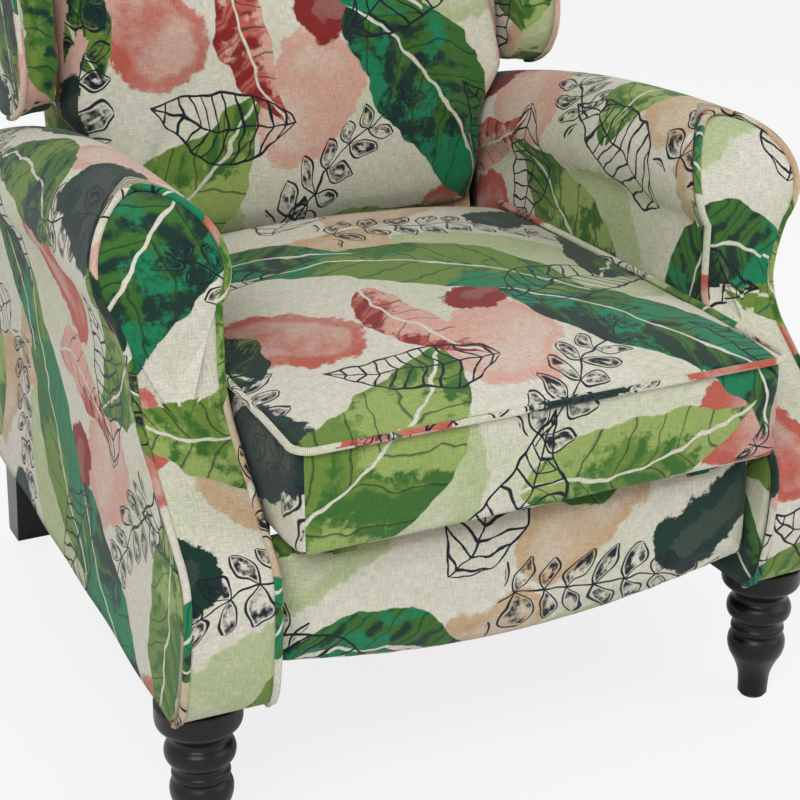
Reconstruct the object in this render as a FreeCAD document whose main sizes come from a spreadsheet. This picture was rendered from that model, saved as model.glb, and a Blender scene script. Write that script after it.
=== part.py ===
"""A push-back wingback recliner: rolled arms on turned legs, a sprung seat that slides forward as
the back leans, and a footrest carried out on folding steel links.

Millimetres. +Z is up, the sitter faces -Y, and the origin is on the floor under the middle.
"""

import FreeCAD, Part
import math
import os

import Sketcher
from FreeCAD import Placement, Rotation, Vector

doc = FreeCAD.newDocument("wingback_recliner")

SIZES = {
    # legs
    "leg_height": 161.0,
    "glide_height": 3.0,
    "glide_radius": 13.0,
    "leg_plate_thick": 3.0,
    "leg_plate_side": 66.0,
    "leg_plate_set_back": 6.0,
    "front_leg_side": 312.0,
    "front_leg_depth": -322.0,
    "rear_leg_side": 279.5,
    "rear_leg_depth": 348.5,
    "rear_leg_rake": 34.0,
    "rear_leg_square": 47.0,
    "rear_leg_foot": 40.0,
    "rear_bolt_set_back": 4.0,
    "leg_bolt_radius": 4.0,
    "leg_bolt_low": 120.0,
    "leg_bolt_high": 198.0,
    # arms
    "arm_inner": 258.0,
    "arm_outer_foot": 353.0,
    "arm_outer_waist": 345.0,
    "arm_waist_height": 323.0,
    "arm_front": -410.0,
    "arm_middle": 20.0,
    "arm_rear": 377.0,
    "roll_side": 310.0,
    "roll_height": 547.0,
    "roll_middle_height": 537.0,
    "roll_rear_height": 462.0,
    "roll_radius": 63.0,
    "roll_middle_radius": 61.0,
    "roll_rear_radius": 54.0,
    "roll_neck_drop": 105.0,
    "roll_neck_angle": 41.0,
    "roll_inner_angle": 34.5,
    "toe_in": 1.7,
    "nose_depth": -398.0,
    "nose_height": 285.0,
    "throat_depth": -264.0,
    "crown_depth": -174.0,
    "arm_panel_thick": 10.0,
    "welt_width": 6.5,
    "arm_frame_inner": 272.0,
    "arm_frame_outer": 330.0,
    "arm_frame_rear": 362.0,
    "arm_pad_nose": 53.0,
    "arm_pad_throat": 29.0,
    "arm_pad_roll": 32.0,
    "arm_pad_tail": 36.0,
    "arm_shelf": 120.0,
    "arm_knee": 15.0,
    "arm_board": 44.0,
    # base
    "rail_thick": 22.0,
    "rail_lift": 19.0,
    "rail_tall": 45.0,
    "middle_rail_front": 2.0,
    "rear_rail_front": 330.0,
    "rail_gap": 0.4,
    "apron_thick": 20.0,
    "apron_high": 334.0,
    "steel": 3.0,
    "base_plate_side": 231.0,
    "base_plate_high": 320.0,
    "base_plate_tail": 37.0,
    "base_plate_taper": 100.0,
    "base_plate_nose": 30.0,
    "base_flange_inner": 203.0,
    "base_bolt_side": 214.0,
    "bolt_radius": 4.0,
    "bolt_head_radius": 7.5,
    "bolt_head_height": 5.0,
    # seat
    "seat_half_front": 252.0,
    "seat_half_rear": 238.0,
    "seat_front": -422.0,
    "seat_rear": 127.0,
    "seat_low": 325.0,
    "seat_edge": 430.0,
    "seat_crown": 478.0,
    "seat_travel": 55.0,
    "seat_frame_half": 222.0,
    "seat_frame_front": -400.0,
    "seat_frame_rear": 117.0,
    "seat_frame_low": 335.0,
    "seat_frame_high": 393.0,
    "seat_corner_block": 60.0,
    "seat_fit": 0.3,
    "spring_wire": 3.5,
    "spring_bend": 16.0,
    "spring_half_width": 26.0,
    "spring_spacing": 96.0,
    "spring_clip": 18.0,
    "slide_height": 305.0,
    "slide_front": -110.0,
    "slide_rear": 70.0,
    "slide_stud_radius": 6.0,
    "seat_pin_height": 367.0,
    # links
    "pin_radius": 4.0,
    "pin_fit": 0.05,
    "open_pin_fit": 0.5,
    "pin_head": 7.0,
    "pin_head_thick": 2.0,
    "link_gap": 1.0,
    "link_half_width": 10.0,
    "front_link_half_width": 9.0,
    "main_link_half_width": 11.0,
    "rear_link_layer": 216.0,
    "rear_pivot_depth": -188.0,
    "rear_pivot_height": 278.0,
    "rear_link_length": 200.0,
    "rear_link_angle": -33.4,
    "main_link_length": 308.0,
    "main_link_angle": 164.0,
    "link_spacing": 70.0,
    "torque_tube_radius": 7.0,
    "torque_tube_place": 50.0,
    # footrest
    "footrest_half": 251.0,
    "footrest_front": -380.0,
    "footrest_pad": 20.0,
    "footrest_board": 18.0,
    "footrest_high": 321.0,
    "footrest_corner": 203.0,
    "footrest_belly": 172.0,
    "footrest_margin": 13.0,
    # back
    "back_front": 112.0,
    "back_level": 500.0,
    "back_rake": 12.4,
    "back_pad": 78.0,
    "back_half_low": 229.0,
    "back_half_high": 264.0,
    "back_pad_low": -70.0,
    "back_pad_high": 515.0,
    "back_notch_high": 112.0,
    "back_webbing": 2.0,
    "strap_wide": 50.0,
    "strap_pitch": 55.0,
    "strap_low": 75.0,
    "strap_high": 285.0,
    "back_side_outer": 226.0,
    "back_side_thick": 20.0,
    "back_rear_low": 340.0,
    "back_rear_high": 425.0,
    "back_base": 340.0,
    "back_top": 1050.0,
    "back_cover": 10.0,
    "back_rail_tall": 70.0,
    "back_rail_middle": 190.0,
    "back_rail_margin": 40.0,
    "back_foot_tall": 55.0,
    "back_foot_gap": 5.0,
    "back_foot_deep": 50.0,
    "back_side_gap": 25.0,
    "back_side_rise": 45.0,
    "hinge_depth": 222.0,
    "hinge_drop": 32.563,
    "hinge_pin_radius": 5.0,
    "hinge_slot_play": 2.3,
    # wings
    "wing_inner": 268.0,
    "wing_outer": 315.0,
    "wing_front": 132.0,
    "wing_front_high": 156.0,
    "wing_high": 1044.0,
    "wing_gap": 17.5,
    "wing_chin": 100.0,
    "wing_rise": 97.0,
    "outside_step": 84.0,
    "wing_board_low": 125.0,
    "wing_board_high": 40.0,
    "wing_board": 18.0,
}

sheet = doc.addObject("Spreadsheet::Sheet", "Sizes")
for row, (name, number) in enumerate(SIZES.items(), start=1):
    sheet.set(f"A{row}", name)
    sheet.set(f"B{row}", str(number))
    sheet.setAlias(f"B{row}", name)
doc.recompute()


class Size:
    """A number, and the sheet expression that gives it."""

    def __init__(self, number, text):
        self.number, self.text = float(number), text

    def __float__(self):
        return self.number

    def __neg__(self):
        return Size(-self.number, f"(0 - {self.text})")

    def __add__(self, other):
        return Size(float(self) + float(other), f"({self.text} + {text_of(other)})")

    def __radd__(self, other):
        return Size(float(other) + float(self), f"({text_of(other)} + {self.text})")

    def __sub__(self, other):
        return Size(float(self) - float(other), f"({self.text} - {text_of(other)})")

    def __rsub__(self, other):
        return Size(float(other) - float(self), f"({text_of(other)} - {self.text})")

    def __mul__(self, other):
        return Size(float(self) * float(other), f"({self.text} * {text_of(other)})")

    def __rmul__(self, other):
        return Size(float(other) * float(self), f"({text_of(other)} * {self.text})")

    def __truediv__(self, other):
        return Size(float(self) / float(other), f"({self.text} / {text_of(other)})")


def text_of(value):
    """The expression for a size or a plain number."""
    return value.text if isinstance(value, Size) else repr(float(value))


def cosine(angle):
    return Size(math.cos(math.radians(float(angle))), f"cos({text_of(angle)})")


def sine(angle):
    return Size(math.sin(math.radians(float(angle))), f"sin({text_of(angle)})")


def arc_tangent(slope):
    return Size(math.degrees(math.atan(float(slope))), f"atan({text_of(slope)})")


def root(value):
    return Size(math.sqrt(float(value)), f"sqrt({text_of(value)})")


class Sizes:
    """The sheet's cells by name."""

    def __getattr__(self, name):
        return Size(sheet.get(name), f"Sizes.{name}")


the = Sizes()
nodes = []


def node(label, thing):
    """Names a finished piece, which is then written to a file of that name."""
    thing.Label = label
    nodes.append(thing)
    return thing


def bind(thing, path, value):
    """Ties a property to the sheet."""
    thing.setExpression(path, text_of(value))


def place(thing, x=0.0, y=0.0, z=0.0):
    """Ties a piece's position to the sheet."""
    for axis, value in (("x", x), ("y", y), ("z", z)):
        bind(thing, f"Placement.Base.{axis}", value)
    return thing


def turn(thing, axis, angle):
    """Turns a piece about an axis through its own origin."""
    thing.Placement.Rotation = Rotation(Vector(*axis), 1.0)
    bind(thing, "Placement.Rotation.Angle", angle)
    return thing


def block(label, x, y, z):
    """A box between two limits along each axis."""
    box = doc.addObject("Part::Box", label)
    for side, (low, high) in (("Length", x), ("Width", y), ("Height", z)):
        bind(box, side, high - low)
    return place(box, x[0], y[0], z[0])


def bar(label, radius, x, y, z):
    """A round bar along X between two limits."""
    rod = doc.addObject("Part::Cylinder", label)
    bind(rod, "Radius", radius)
    bind(rod, "Height", x[1] - x[0])
    rod.Placement.Rotation = Rotation(Vector(0, 1, 0), 90)
    return place(rod, x[0], y, z)


def post(label, radius, x, y, z):
    """A round post along Z between two limits."""
    rod = doc.addObject("Part::Cylinder", label)
    bind(rod, "Radius", radius)
    bind(rod, "Height", z[1] - z[0])
    return place(rod, x, y, z[0])


def joined(kind, label, parts):
    """A Part::MultiFuse or Part::Compound of several pieces."""
    whole = doc.addObject(kind, label)
    if kind == "Part::Compound":
        whole.Links = parts
    else:
        whole.Shapes = parts
    return whole


def fuse(label, *parts):
    return joined("Part::MultiFuse", label, list(parts))


def group(label, *parts):
    return joined("Part::Compound", label, list(parts))


def cut(label, base, tool):
    """What is left of a base when a tool is taken from it."""
    rest = doc.addObject("Part::Cut", label)
    rest.Base, rest.Tool = base, tool
    return rest


def mirrored(label, source):
    """The left-hand copy of a right-hand piece."""
    copy = doc.addObject("Part::Mirroring", label)
    copy.Source = source
    copy.Normal = (1, 0, 0)
    return copy


def pair(name, right):
    """The right-hand piece and its mirror image, each a node."""
    node(f"{name}_left", mirrored(f"{name}_mirror", right))
    node(f"{name}_right", right)


def body_sketch(body, plane, offset):
    """A new sketch on one of a body's own origin planes, moved along the plane's normal."""
    planes = {feature.Role: feature for feature in body.Origin.OriginFeatures}
    sketch = body.newObject("Sketcher::SketchObject", f"{body.Name}_sketch")
    sketch.AttachmentSupport = [(planes[plane], "")]
    sketch.MapMode = "FlatFace"
    bind(sketch, "AttachmentOffset.Base.z", offset)
    return sketch


def arc_between(start, end, radius):
    """The arc under a half circle from start to end, bending left where the radius is positive."""
    (x0, y0), (x1, y1) = start, end
    chord = math.hypot(x1 - x0, y1 - y0)
    height = math.sqrt(max(radius * radius - chord * chord / 4.0, 0.0))
    side = 1.0 if radius > 0 else -1.0
    across = Vector(-(y1 - y0) / chord, (x1 - x0) / chord, 0)
    centre = Vector((x0 + x1) / 2.0, (y0 + y1) / 2.0, 0) + across * (height * side)
    first, last = (start, end) if radius > 0 else (end, start)
    angles = [math.atan2(y - centre.y, x - centre.x) for x, y in (first, last)]
    circle = Part.Circle(centre, Vector(0, 0, 1), abs(radius))
    return Part.ArcOfCircle(circle, angles[0], angles[1])


def outline(sketch, points):
    """Adds a closed outline. A point is (u, v), or (u, v, radius) where an arc leads to it."""
    first = sketch.GeometryCount
    count = len(points)
    ends = []
    for i, point in enumerate(points):
        start = tuple(float(value) for value in points[i - 1][:2])
        end = tuple(float(value) for value in point[:2])
        if len(point) == 3:
            sketch.addGeometry(arc_between(start, end, float(point[2])))
            ends.append((1, 2) if float(point[2]) > 0 else (2, 1))
        else:
            sketch.addGeometry(Part.LineSegment(Vector(*start, 0), Vector(*end, 0)))
            ends.append((1, 2))
    for i in range(count):
        after = (i + 1) % count
        joint = (first + i, ends[i][1], first + after, ends[after][0])
        sketch.addConstraint(Sketcher.Constraint("Coincident", *joint))
    for i, point in enumerate(points):
        for kind, value in (("DistanceX", point[0]), ("DistanceY", point[1])):
            where = (-1, 1, first + i, ends[i][1], float(value))
            dimension(sketch, Sketcher.Constraint(kind, *where), value)
        if len(point) == 3:
            radius = point[2] if float(point[2]) > 0 else -1.0 * point[2]
            fixed = Sketcher.Constraint("Radius", first + i, float(radius))
            dimension(sketch, fixed, radius)


def dimension(sketch, constraint, value):
    """Adds a dimension, tied to the sheet where its value comes from there."""
    index = sketch.addConstraint(constraint)
    if isinstance(value, Size):
        sketch.setExpression(f"Constraints[{index}]", value.text)


def hole(sketch, u, v, radius):
    """Adds a circle."""
    circle = Part.Circle(Vector(float(u), float(v), 0), Vector(0, 0, 1), float(radius))
    index = sketch.addGeometry(circle)
    for kind, value in (("DistanceX", u), ("DistanceY", v)):
        centred = Sketcher.Constraint(kind, -1, 1, index, 3, float(value))
        dimension(sketch, centred, value)
    dimension(sketch, Sketcher.Constraint("Radius", index, float(radius)), radius)


def slot(sketch, start, end, v, radius):
    """Adds a level slot between two centres."""
    outline(
        sketch,
        [
            (end, v - radius),
            (end + radius, v, radius),
            (end, v + radius, radius),
            (start, v + radius),
            (start - radius, v, radius),
            (start, v - radius, radius),
        ],
    )


def pad(body, sketch, length):
    feature = body.newObject("PartDesign::Pad", f"{body.Name}_pad")
    feature.Profile = sketch
    bind(feature, "Length", length)
    return feature


def pocket(body, sketch, length=None):
    """Cuts along the sketch's normal, for a length or right through."""
    feature = body.newObject("PartDesign::Pocket", f"{body.Name}_pocket")
    feature.Profile = sketch
    feature.Reversed = True
    if length is None:
        feature.Type = "ThroughAll"
    else:
        bind(feature, "Length", length)
    return feature


def side_plate(label, x, points, holes=(), slots=()):
    """A plate drawn from the side, in Y and Z, and as thick as its two limits along X."""
    body = doc.addObject("PartDesign::Body", label)
    sketch = body_sketch(body, "YZ_Plane", x[0])
    outline(sketch, points)
    for centre in holes:
        hole(sketch, *centre)
    for centres in slots:
        slot(sketch, *centres)
    pad(body, sketch, x[1] - x[0])
    return body


def front_plate(label, y, points):
    """A plate drawn from the front, in X and Z, between two limits along Y."""
    body = doc.addObject("PartDesign::Body", label)
    sketch = body_sketch(body, "XZ_Plane", -y[1])
    outline(sketch, points)
    pad(body, sketch, y[1] - y[0])
    return body


# Legs: turned front legs, square raked rear ones, on nylon glides under steel plates.

leg_top = the.leg_height - the.leg_plate_thick


def front_leg():
    """The turned front leg, drawn as half its profile and revolved."""
    body = doc.addObject("PartDesign::Body", "front_leg")
    sketch = body_sketch(body, "XZ_Plane", 0.0)
    foot = the.glide_height
    outline(
        sketch,
        [
            (0.0, leg_top),
            (0.0, foot),
            (15.5, foot),
            (16.6, foot + 22.0, 400.0),
            (24.0, foot + 42.0, -70.0),
            (30.0, foot + 60.0, 34.0),
            (25.5, foot + 73.0, 17.0),
            (27.3, foot + 82.0, 6.0),
            (26.5, foot + 90.0, 7.0),
            (33.0, foot + 106.0, 11.0),
            (27.0, foot + 116.0, 12.0),
            (34.0, foot + 127.0, -16.0),
            (40.0, foot + 134.0, 9.0),
            (41.0, leg_top),
        ],
    )
    turned = body.newObject("PartDesign::Revolution", "front_leg_turning")
    turned.Profile = sketch
    turned.ReferenceAxis = (sketch, ["V_Axis"])
    turned.Angle = 360.0
    return place(body, the.front_leg_side, the.front_leg_depth, 0.0)


def rear_leg():
    """The rear leg, lofted from a smaller foot that stands further back."""
    body = doc.addObject("PartDesign::Body", "rear_leg")
    half_top, half_foot = the.rear_leg_square / 2.0, the.rear_leg_foot / 2.0
    rake = the.rear_leg_rake
    sections = []
    for height, half, back in ((the.glide_height, half_foot, rake), (leg_top, half_top, 0.0)):
        sketch = body_sketch(body, "XY_Plane", height)
        outline(
            sketch,
            [
                (-1.0 * half, back - half),
                (half, back - half),
                (half, back + half),
                (-1.0 * half, back + half),
            ],
        )
        sections.append(sketch)
    loft = body.newObject("PartDesign::AdditiveLoft", "rear_leg_loft")
    loft.Profile, loft.Sections, loft.Ruled = sections[0], [sections[1]], True
    return place(body, the.rear_leg_side, the.rear_leg_depth, 0.0)


rear_bolt_depth = the.rear_leg_depth - the.rear_bolt_set_back
bolt_spots = (
    ("front", the.front_leg_side, the.front_leg_depth),
    ("rear", the.rear_leg_side, rear_bolt_depth),
)
bolt_play = the.seat_fit


def leg_bolt_bore(name):
    """The clearance bores for both right-hand leg bolts."""
    wide = the.leg_bolt_radius + bolt_play
    limits = (the.leg_bolt_low - bolt_play, the.leg_bolt_high + bolt_play)
    return group(name, *[post(f"{name}_{end}", wide, x, y, limits) for end, x, y in bolt_spots])


pair("leg_front", cut("leg_front_bored", front_leg(), leg_bolt_bore("front_leg_bore")))
pair("leg_rear", cut("leg_rear_bored", rear_leg(), leg_bolt_bore("rear_leg_bore")))

glides, plates, bolts = [], [], []
for side, sign in (("left", -1.0), ("right", 1.0)):
    for end, x, y in bolt_spots:
        back = the.rear_leg_depth + the.rear_leg_rake if end == "rear" else y
        glide = post(f"glide_{end}_{side}", the.glide_radius, sign * x, back, (0.0, the.glide_height))
        glides.append(glide)
        half = the.leg_plate_side / 2.0
        middle = the.rear_leg_depth - the.leg_plate_set_back if end == "rear" else y
        reach = (sign * x - half, sign * x + half), (middle - half, middle + half)
        plate = block(f"leg_plate_{end}_{side}", *reach, (leg_top, the.leg_height))
        wide = the.leg_bolt_radius + bolt_play
        bore = post(f"plate_bore_{end}_{side}", wide, sign * x, y, (leg_top - 1.0, the.leg_height + 1.0))
        plates.append(cut(f"leg_plate_bored_{end}_{side}", plate, bore))
        limits = (the.leg_bolt_low, the.leg_bolt_high)
        bolts.append(post(f"bolt_{end}_{side}", the.leg_bolt_radius, sign * x, y, limits))
node("leg_glides", group("glide_set", *glides))
node("leg_plates", group("plate_set", *plates))
node("leg_hanger_bolts", group("bolt_set", *bolts))

# Arms: a plywood box frame inside a padded, covered roll, with a welted panel on its front.


def toed_in(thing):
    """Turns an arm piece about the arm's front, so that the arms close towards the rear."""
    x, y = the.roll_side, the.arm_front
    cos, sin = cosine(the.toe_in), sine(the.toe_in)
    turn(thing, (0, 0, 1), the.toe_in)
    return place(thing, x - x * cos + y * sin, y - x * sin - y * cos, 0.0)


def arm_inner_at(y):
    """How far from the middle an arm's inner face is, at a depth."""
    x, front = the.roll_side, the.arm_front
    cos, sin = cosine(the.toe_in), sine(the.toe_in)
    return x - (x - the.arm_inner) / cos - (y - front) * sin / cos


def arm_roll_at(depth):
    """The height of the roll's centre behind the arm's middle, taken as straight."""
    slope = (the.roll_rear_height - the.roll_middle_height) / (the.arm_rear - the.arm_middle)
    return the.roll_middle_height + (depth - the.arm_middle) * slope


def arm_section(height, radius, inset, low):
    """An arm's outline from the front: a straight waist that swells into a round roll."""
    side = the.roll_side
    inner, waist = the.arm_inner + inset, the.arm_outer_waist - inset
    reach = radius - inset
    neck = (side + reach * cosine(the.roll_neck_angle), height - reach * sine(the.roll_neck_angle))
    inside = (side - reach * cosine(the.roll_inner_angle), height - reach * sine(the.roll_inner_angle))
    neck_start = height - the.roll_neck_drop
    across, up = neck[0] - waist, neck[1] - neck_start
    flare = (across * across + up * up) / (2.0 * across)
    return [
        (inner, low),
        (the.arm_outer_foot - inset, low),
        (waist, the.arm_waist_height),
        (waist, neck_start),
        (*neck, -1.0 * flare),
        (side, height + reach, reach),
        (*inside, reach),
    ]


def arm_face(shift):
    """What lies in front of the arm's curved face, from the side."""
    nose, throat, crown = the.nose_depth + shift, the.throat_depth + shift, the.crown_depth + shift
    level, roll = the.nose_height, the.roll_height
    return [
        (nose + 36.0, the.leg_height - 40.0),
        (nose + 36.0, the.leg_height),
        (nose + 12.0, the.leg_height + 30.0, -44.0),
        (nose, level, -420.0),
        (nose + 20.0, level + 41.0, -46.0),
        (throat - 26.0, level + 117.0),
        (throat, level + 168.0, 77.0),
        (throat, roll - 27.0),
        (crown, roll + 63.0, -1.0 * (crown - throat)),
        (crown, roll + 160.0),
        (nose - 90.0, roll + 160.0),
        (nose - 90.0, the.leg_height - 40.0),
    ]


def cut_face(body, shift):
    """Cuts the curved face out of a body of the arm."""
    sketch = body_sketch(body, "YZ_Plane", 0.0)
    outline(sketch, arm_face(shift))
    pocket(body, sketch)


def keep_face(body, shift):
    """Cuts away what lies behind a curved face."""
    sketch = body_sketch(body, "YZ_Plane", 0.0)
    face = arm_face(shift)[:-2]
    far = the.arm_middle + 1.0
    outline(sketch, [*face, (far, face[-1][1]), (far, face[0][1])])
    pocket(body, sketch)


def reversed_outline(points):
    """The same run of points the other way, with each arc's radius kept with its own arc."""
    radii = [point[2] if len(point) == 3 else None for point in points]
    turned = []
    for i in range(len(points) - 1, -1, -1):
        radius = radii[i + 1] if i + 1 < len(points) else None
        where = points[i][:2]
        turned.append(where if radius is None else (*where, -1.0 * radius))
    return turned


frame_nose, frame_throat = the.nose_depth + the.arm_pad_nose, the.throat_depth + the.arm_pad_throat
frame_roll_high = the.roll_height - the.arm_pad_roll
frame_tail_high = the.roll_rear_height - the.arm_pad_tail
frame_profile = [
    (frame_nose, the.leg_height),
    (the.arm_frame_rear, the.leg_height),
    (the.arm_frame_rear, frame_tail_high),
    (frame_throat, frame_roll_high),
    (frame_throat, the.nose_height + the.arm_shelf),
    (frame_nose, the.nose_height + the.arm_knee),
]


def frame_top(depth):
    """The height of the frame's sloping top rail, at a depth."""
    slope = (frame_tail_high - frame_roll_high) / (the.arm_frame_rear - frame_throat)
    return frame_roll_high + (depth - frame_throat) * slope


def arm_cover():
    """The padded arm: a loft from the front section to the lower rear one, cut by the curved
    face and hollow where the frame stands in it."""
    body = doc.addObject("PartDesign::Body", "arm_padding")
    stations = (
        (the.arm_front, the.roll_height, the.roll_radius),
        (the.arm_middle, the.roll_middle_height, the.roll_middle_radius),
        (the.arm_rear, the.roll_rear_height, the.roll_rear_radius),
    )
    sections = []
    for depth, height, radius in stations:
        sketch = body_sketch(body, "XZ_Plane", -depth)
        outline(sketch, arm_section(height, radius, 0.0, the.leg_height))
        sections.append(sketch)
    loft = body.newObject("PartDesign::AdditiveLoft", "arm_loft")
    loft.Profile, loft.Sections = sections[0], sections[1:]
    cut_face(body, the.arm_panel_thick)
    hollow = body_sketch(body, "YZ_Plane", the.arm_frame_inner)
    outline(hollow, frame_profile)
    pocket(body, hollow, the.arm_frame_outer - the.arm_frame_inner)
    return toed_in(body)


def arm_frame():
    """The arm's box frame of posts and rails, open between them."""
    board = the.arm_board
    body = doc.addObject("PartDesign::Body", "arm_frame")
    sketch = body_sketch(body, "YZ_Plane", the.arm_frame_inner)
    outline(sketch, frame_profile)
    low, rail = the.leg_height + board, board * 1.1
    front, shelf, rear = frame_nose + board, frame_throat + board, the.arm_frame_rear - board
    post_front, post_rear = the.arm_middle - board / 2.0, the.arm_middle + board / 2.0
    outline(
        sketch,
        [
            (front, low),
            (post_front, low),
            (post_front, frame_top(post_front) - rail),
            (shelf, frame_top(shelf) - rail),
            (shelf, the.nose_height + the.arm_shelf - the.arm_knee),
            (front, the.nose_height),
        ],
    )
    outline(
        sketch,
        [
            (post_rear, low),
            (rear, low),
            (rear, frame_top(rear) - rail),
            (post_rear, frame_top(post_rear) - rail),
        ],
    )
    pad(body, sketch, the.arm_frame_outer - the.arm_frame_inner)
    return toed_in(body)


def arm_panel():
    """The covered panel on the arm's front, inside the welt."""
    body = doc.addObject("PartDesign::Body", "arm_panel")
    sketch = body_sketch(body, "XZ_Plane", -the.arm_middle)
    outline(sketch, arm_section(the.roll_height, the.roll_radius, the.welt_width, the.leg_height))
    pad(body, sketch, the.arm_middle - the.arm_front)
    cut_face(body, 0.0)
    keep_face(body, the.arm_panel_thick)
    return toed_in(body)


def arm_welt():
    """The corded welt round the panel, up the outside, over the roll and down the inside."""
    body = doc.addObject("PartDesign::Body", "arm_welt")
    sketch = body_sketch(body, "XZ_Plane", -the.arm_middle)
    outer = arm_section(the.roll_height, the.roll_radius, 0.0, the.leg_height)
    inner = arm_section(the.roll_height, the.roll_radius, the.welt_width, the.leg_height)
    ring = outer[1:] + [outer[0]] + reversed_outline([*inner[1:], inner[0]])
    outline(sketch, ring)
    pad(body, sketch, the.arm_middle - the.arm_front)
    cut_face(body, -0.4 * the.welt_width)
    keep_face(body, the.arm_panel_thick)
    return toed_in(body)


pair("arm_upholstery", arm_cover())
pair("arm_frame", cut("arm_frame_bored", arm_frame(), leg_bolt_bore("arm_frame_bore")))
pair("arm_front_panel", arm_panel())
pair("arm_welt", arm_welt())

# Base: cross rails between the arms, the rear apron, and the steel angles the seat slides on.


rail_low = the.leg_height + the.rail_lift
rail_high = rail_low + the.rail_tall


def cross_rail(label, front, thick, low, high):
    """A rail that reaches to both arms."""
    half = arm_inner_at(front + thick / 2.0) - the.rail_gap
    return block(label, (-half, half), (front, front + thick), (low, high))


base_bolt_spots = [
    (sign * the.base_bolt_side, front + the.rail_thick / 2.0)
    for sign in (-1.0, 1.0)
    for front in (the.middle_rail_front, the.rear_rail_front)
]


def base_bolt_bore(label):
    """The clearance bores for the bolts that hold the angles to the rails."""
    wide = the.bolt_radius + bolt_play
    limits = (rail_low - 1.0, rail_high + the.steel + 1.0)
    return group(label, *[post(f"{label}_each", wide, x, y, limits) for x, y in base_bolt_spots])


middle_rail = cross_rail("middle_rail", the.middle_rail_front, the.rail_thick, rail_low, rail_high)
node("middle_cross_rail", cut("middle_rail_bored", middle_rail, base_bolt_bore("middle_rail_bore")))
rear_rail = cross_rail("rear_rail", the.rear_rail_front, the.rail_thick, rail_low, rail_high)
node("rear_cross_rail", cut("rear_rail_bored", rear_rail, base_bolt_bore("rear_rail_bore")))
apron_front = the.rear_rail_front + the.rail_thick
node("rear_apron", cross_rail("apron", apron_front, the.apron_thick, the.leg_height, the.apron_high))


def base_angle():
    """The steel angle that carries the seat: a tapered upright leaf and a flange on the rails."""
    leaf_x = (the.base_plate_side, the.base_plate_side + the.steel)
    low, high = rail_high, the.base_plate_high
    nose, rear = the.slide_front - the.base_plate_nose, apron_front
    leaf = side_plate(
        "angle_leaf",
        leaf_x,
        [
            (the.middle_rail_front, low),
            (rear, low),
            (rear, low + the.base_plate_tail),
            (rear - the.base_plate_taper, high),
            (nose, high),
            (nose, high - the.base_plate_nose),
        ],
    )
    flange_x = (the.base_flange_inner, the.base_plate_side + the.steel)
    flange = block("angle_flange", flange_x, (the.middle_rail_front, rear), (low, low + the.steel))
    return cut("base_angle_bored", fuse("base_angle", leaf, flange), base_bolt_bore("angle_bore"))


pair("base_angle", base_angle())

bolts = []
for x, y in base_bolt_spots:
    top = rail_high + the.steel
    shank = post("base_bolt_shank", the.bolt_radius, x, y, (rail_low, top + 1.0))
    head = post("base_bolt_head", the.bolt_head_radius, x, y, (top, top + the.bolt_head_height))
    bolts.append(fuse("base_bolt", shank, head))
node("base_bolts", group("base_bolt_set", *bolts))

seat_plate_side = the.seat_frame_half
seat_plate = (seat_plate_side, seat_plate_side + the.steel)


def slide_stud(depth):
    """A shouldered stud on the angle, in a slot of the seat's side plate."""
    height, radius = the.slide_height, the.slide_stud_radius
    head_end = seat_plate[0] - the.link_gap
    shank = bar("stud_shank", radius, (head_end - 1.0, the.base_plate_side), depth, height)
    head = bar("stud_head", radius + 3.0, (head_end - the.pin_head_thick, head_end), depth, height)
    return fuse("slide_stud", shank, head)


studs = [slide_stud(depth) for depth in (the.slide_front, the.slide_rear)]
node("slide_studs", group("stud_set", *studs, *[mirrored("stud_mirror", stud) for stud in studs]))


hinge_height = arm_roll_at(the.hinge_depth) - the.hinge_drop


def arm_pivot_plate():
    """The plate on the arm's inner face with the pin that the back turns on."""
    height, depth = hinge_height, the.hinge_depth
    plate_y = (depth - 34.0, depth + 34.0)
    plate_x = (the.arm_inner - the.steel, the.arm_inner)
    plate = toed_in_box("pivot_plate", plate_x, plate_y, (height - 50.0, height + 7.0))
    pin_x = (the.back_side_outer - 8.0, arm_inner_at(depth) - the.steel / 2.0)
    return fuse("arm_pivot", plate, bar("pivot_pin", the.hinge_pin_radius, pin_x, depth, height))


def toed_in_box(label, x, y, z):
    """A box lying in the arm's own turned frame."""
    body = side_plate(label, x, [(y[0], z[0]), (y[1], z[0]), (y[1], z[1]), (y[0], z[1])])
    return toed_in(body)


pair("back_pivot_plate", arm_pivot_plate())

# Seat: a hardwood frame with sinuous springs, a crowned cushion, and steel plates that slide.


def seat_frame():
    """The seat's four rails with corner blocks between them."""
    half, front, rear = the.seat_frame_half, the.seat_frame_front, the.seat_frame_rear
    thick, block_side = the.rail_thick, the.seat_corner_block
    body = doc.addObject("PartDesign::Body", "seat_frame")
    sketch = body_sketch(body, "XY_Plane", the.seat_frame_low)
    outline(sketch, [(-half, front), (half, front), (half, rear), (-half, rear)])
    x, low, high = half - thick, front + thick, rear - thick
    outline(
        sketch,
        [
            (block_side - x, low),
            (x - block_side, low),
            (x, low + block_side),
            (x, high - block_side),
            (x - block_side, high),
            (block_side - x, high),
            (-x, high - block_side),
            (-x, low + block_side),
        ],
    )
    pad(body, sketch, the.seat_frame_high - the.seat_frame_low)
    return body


node("seat_frame", seat_frame())


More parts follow.
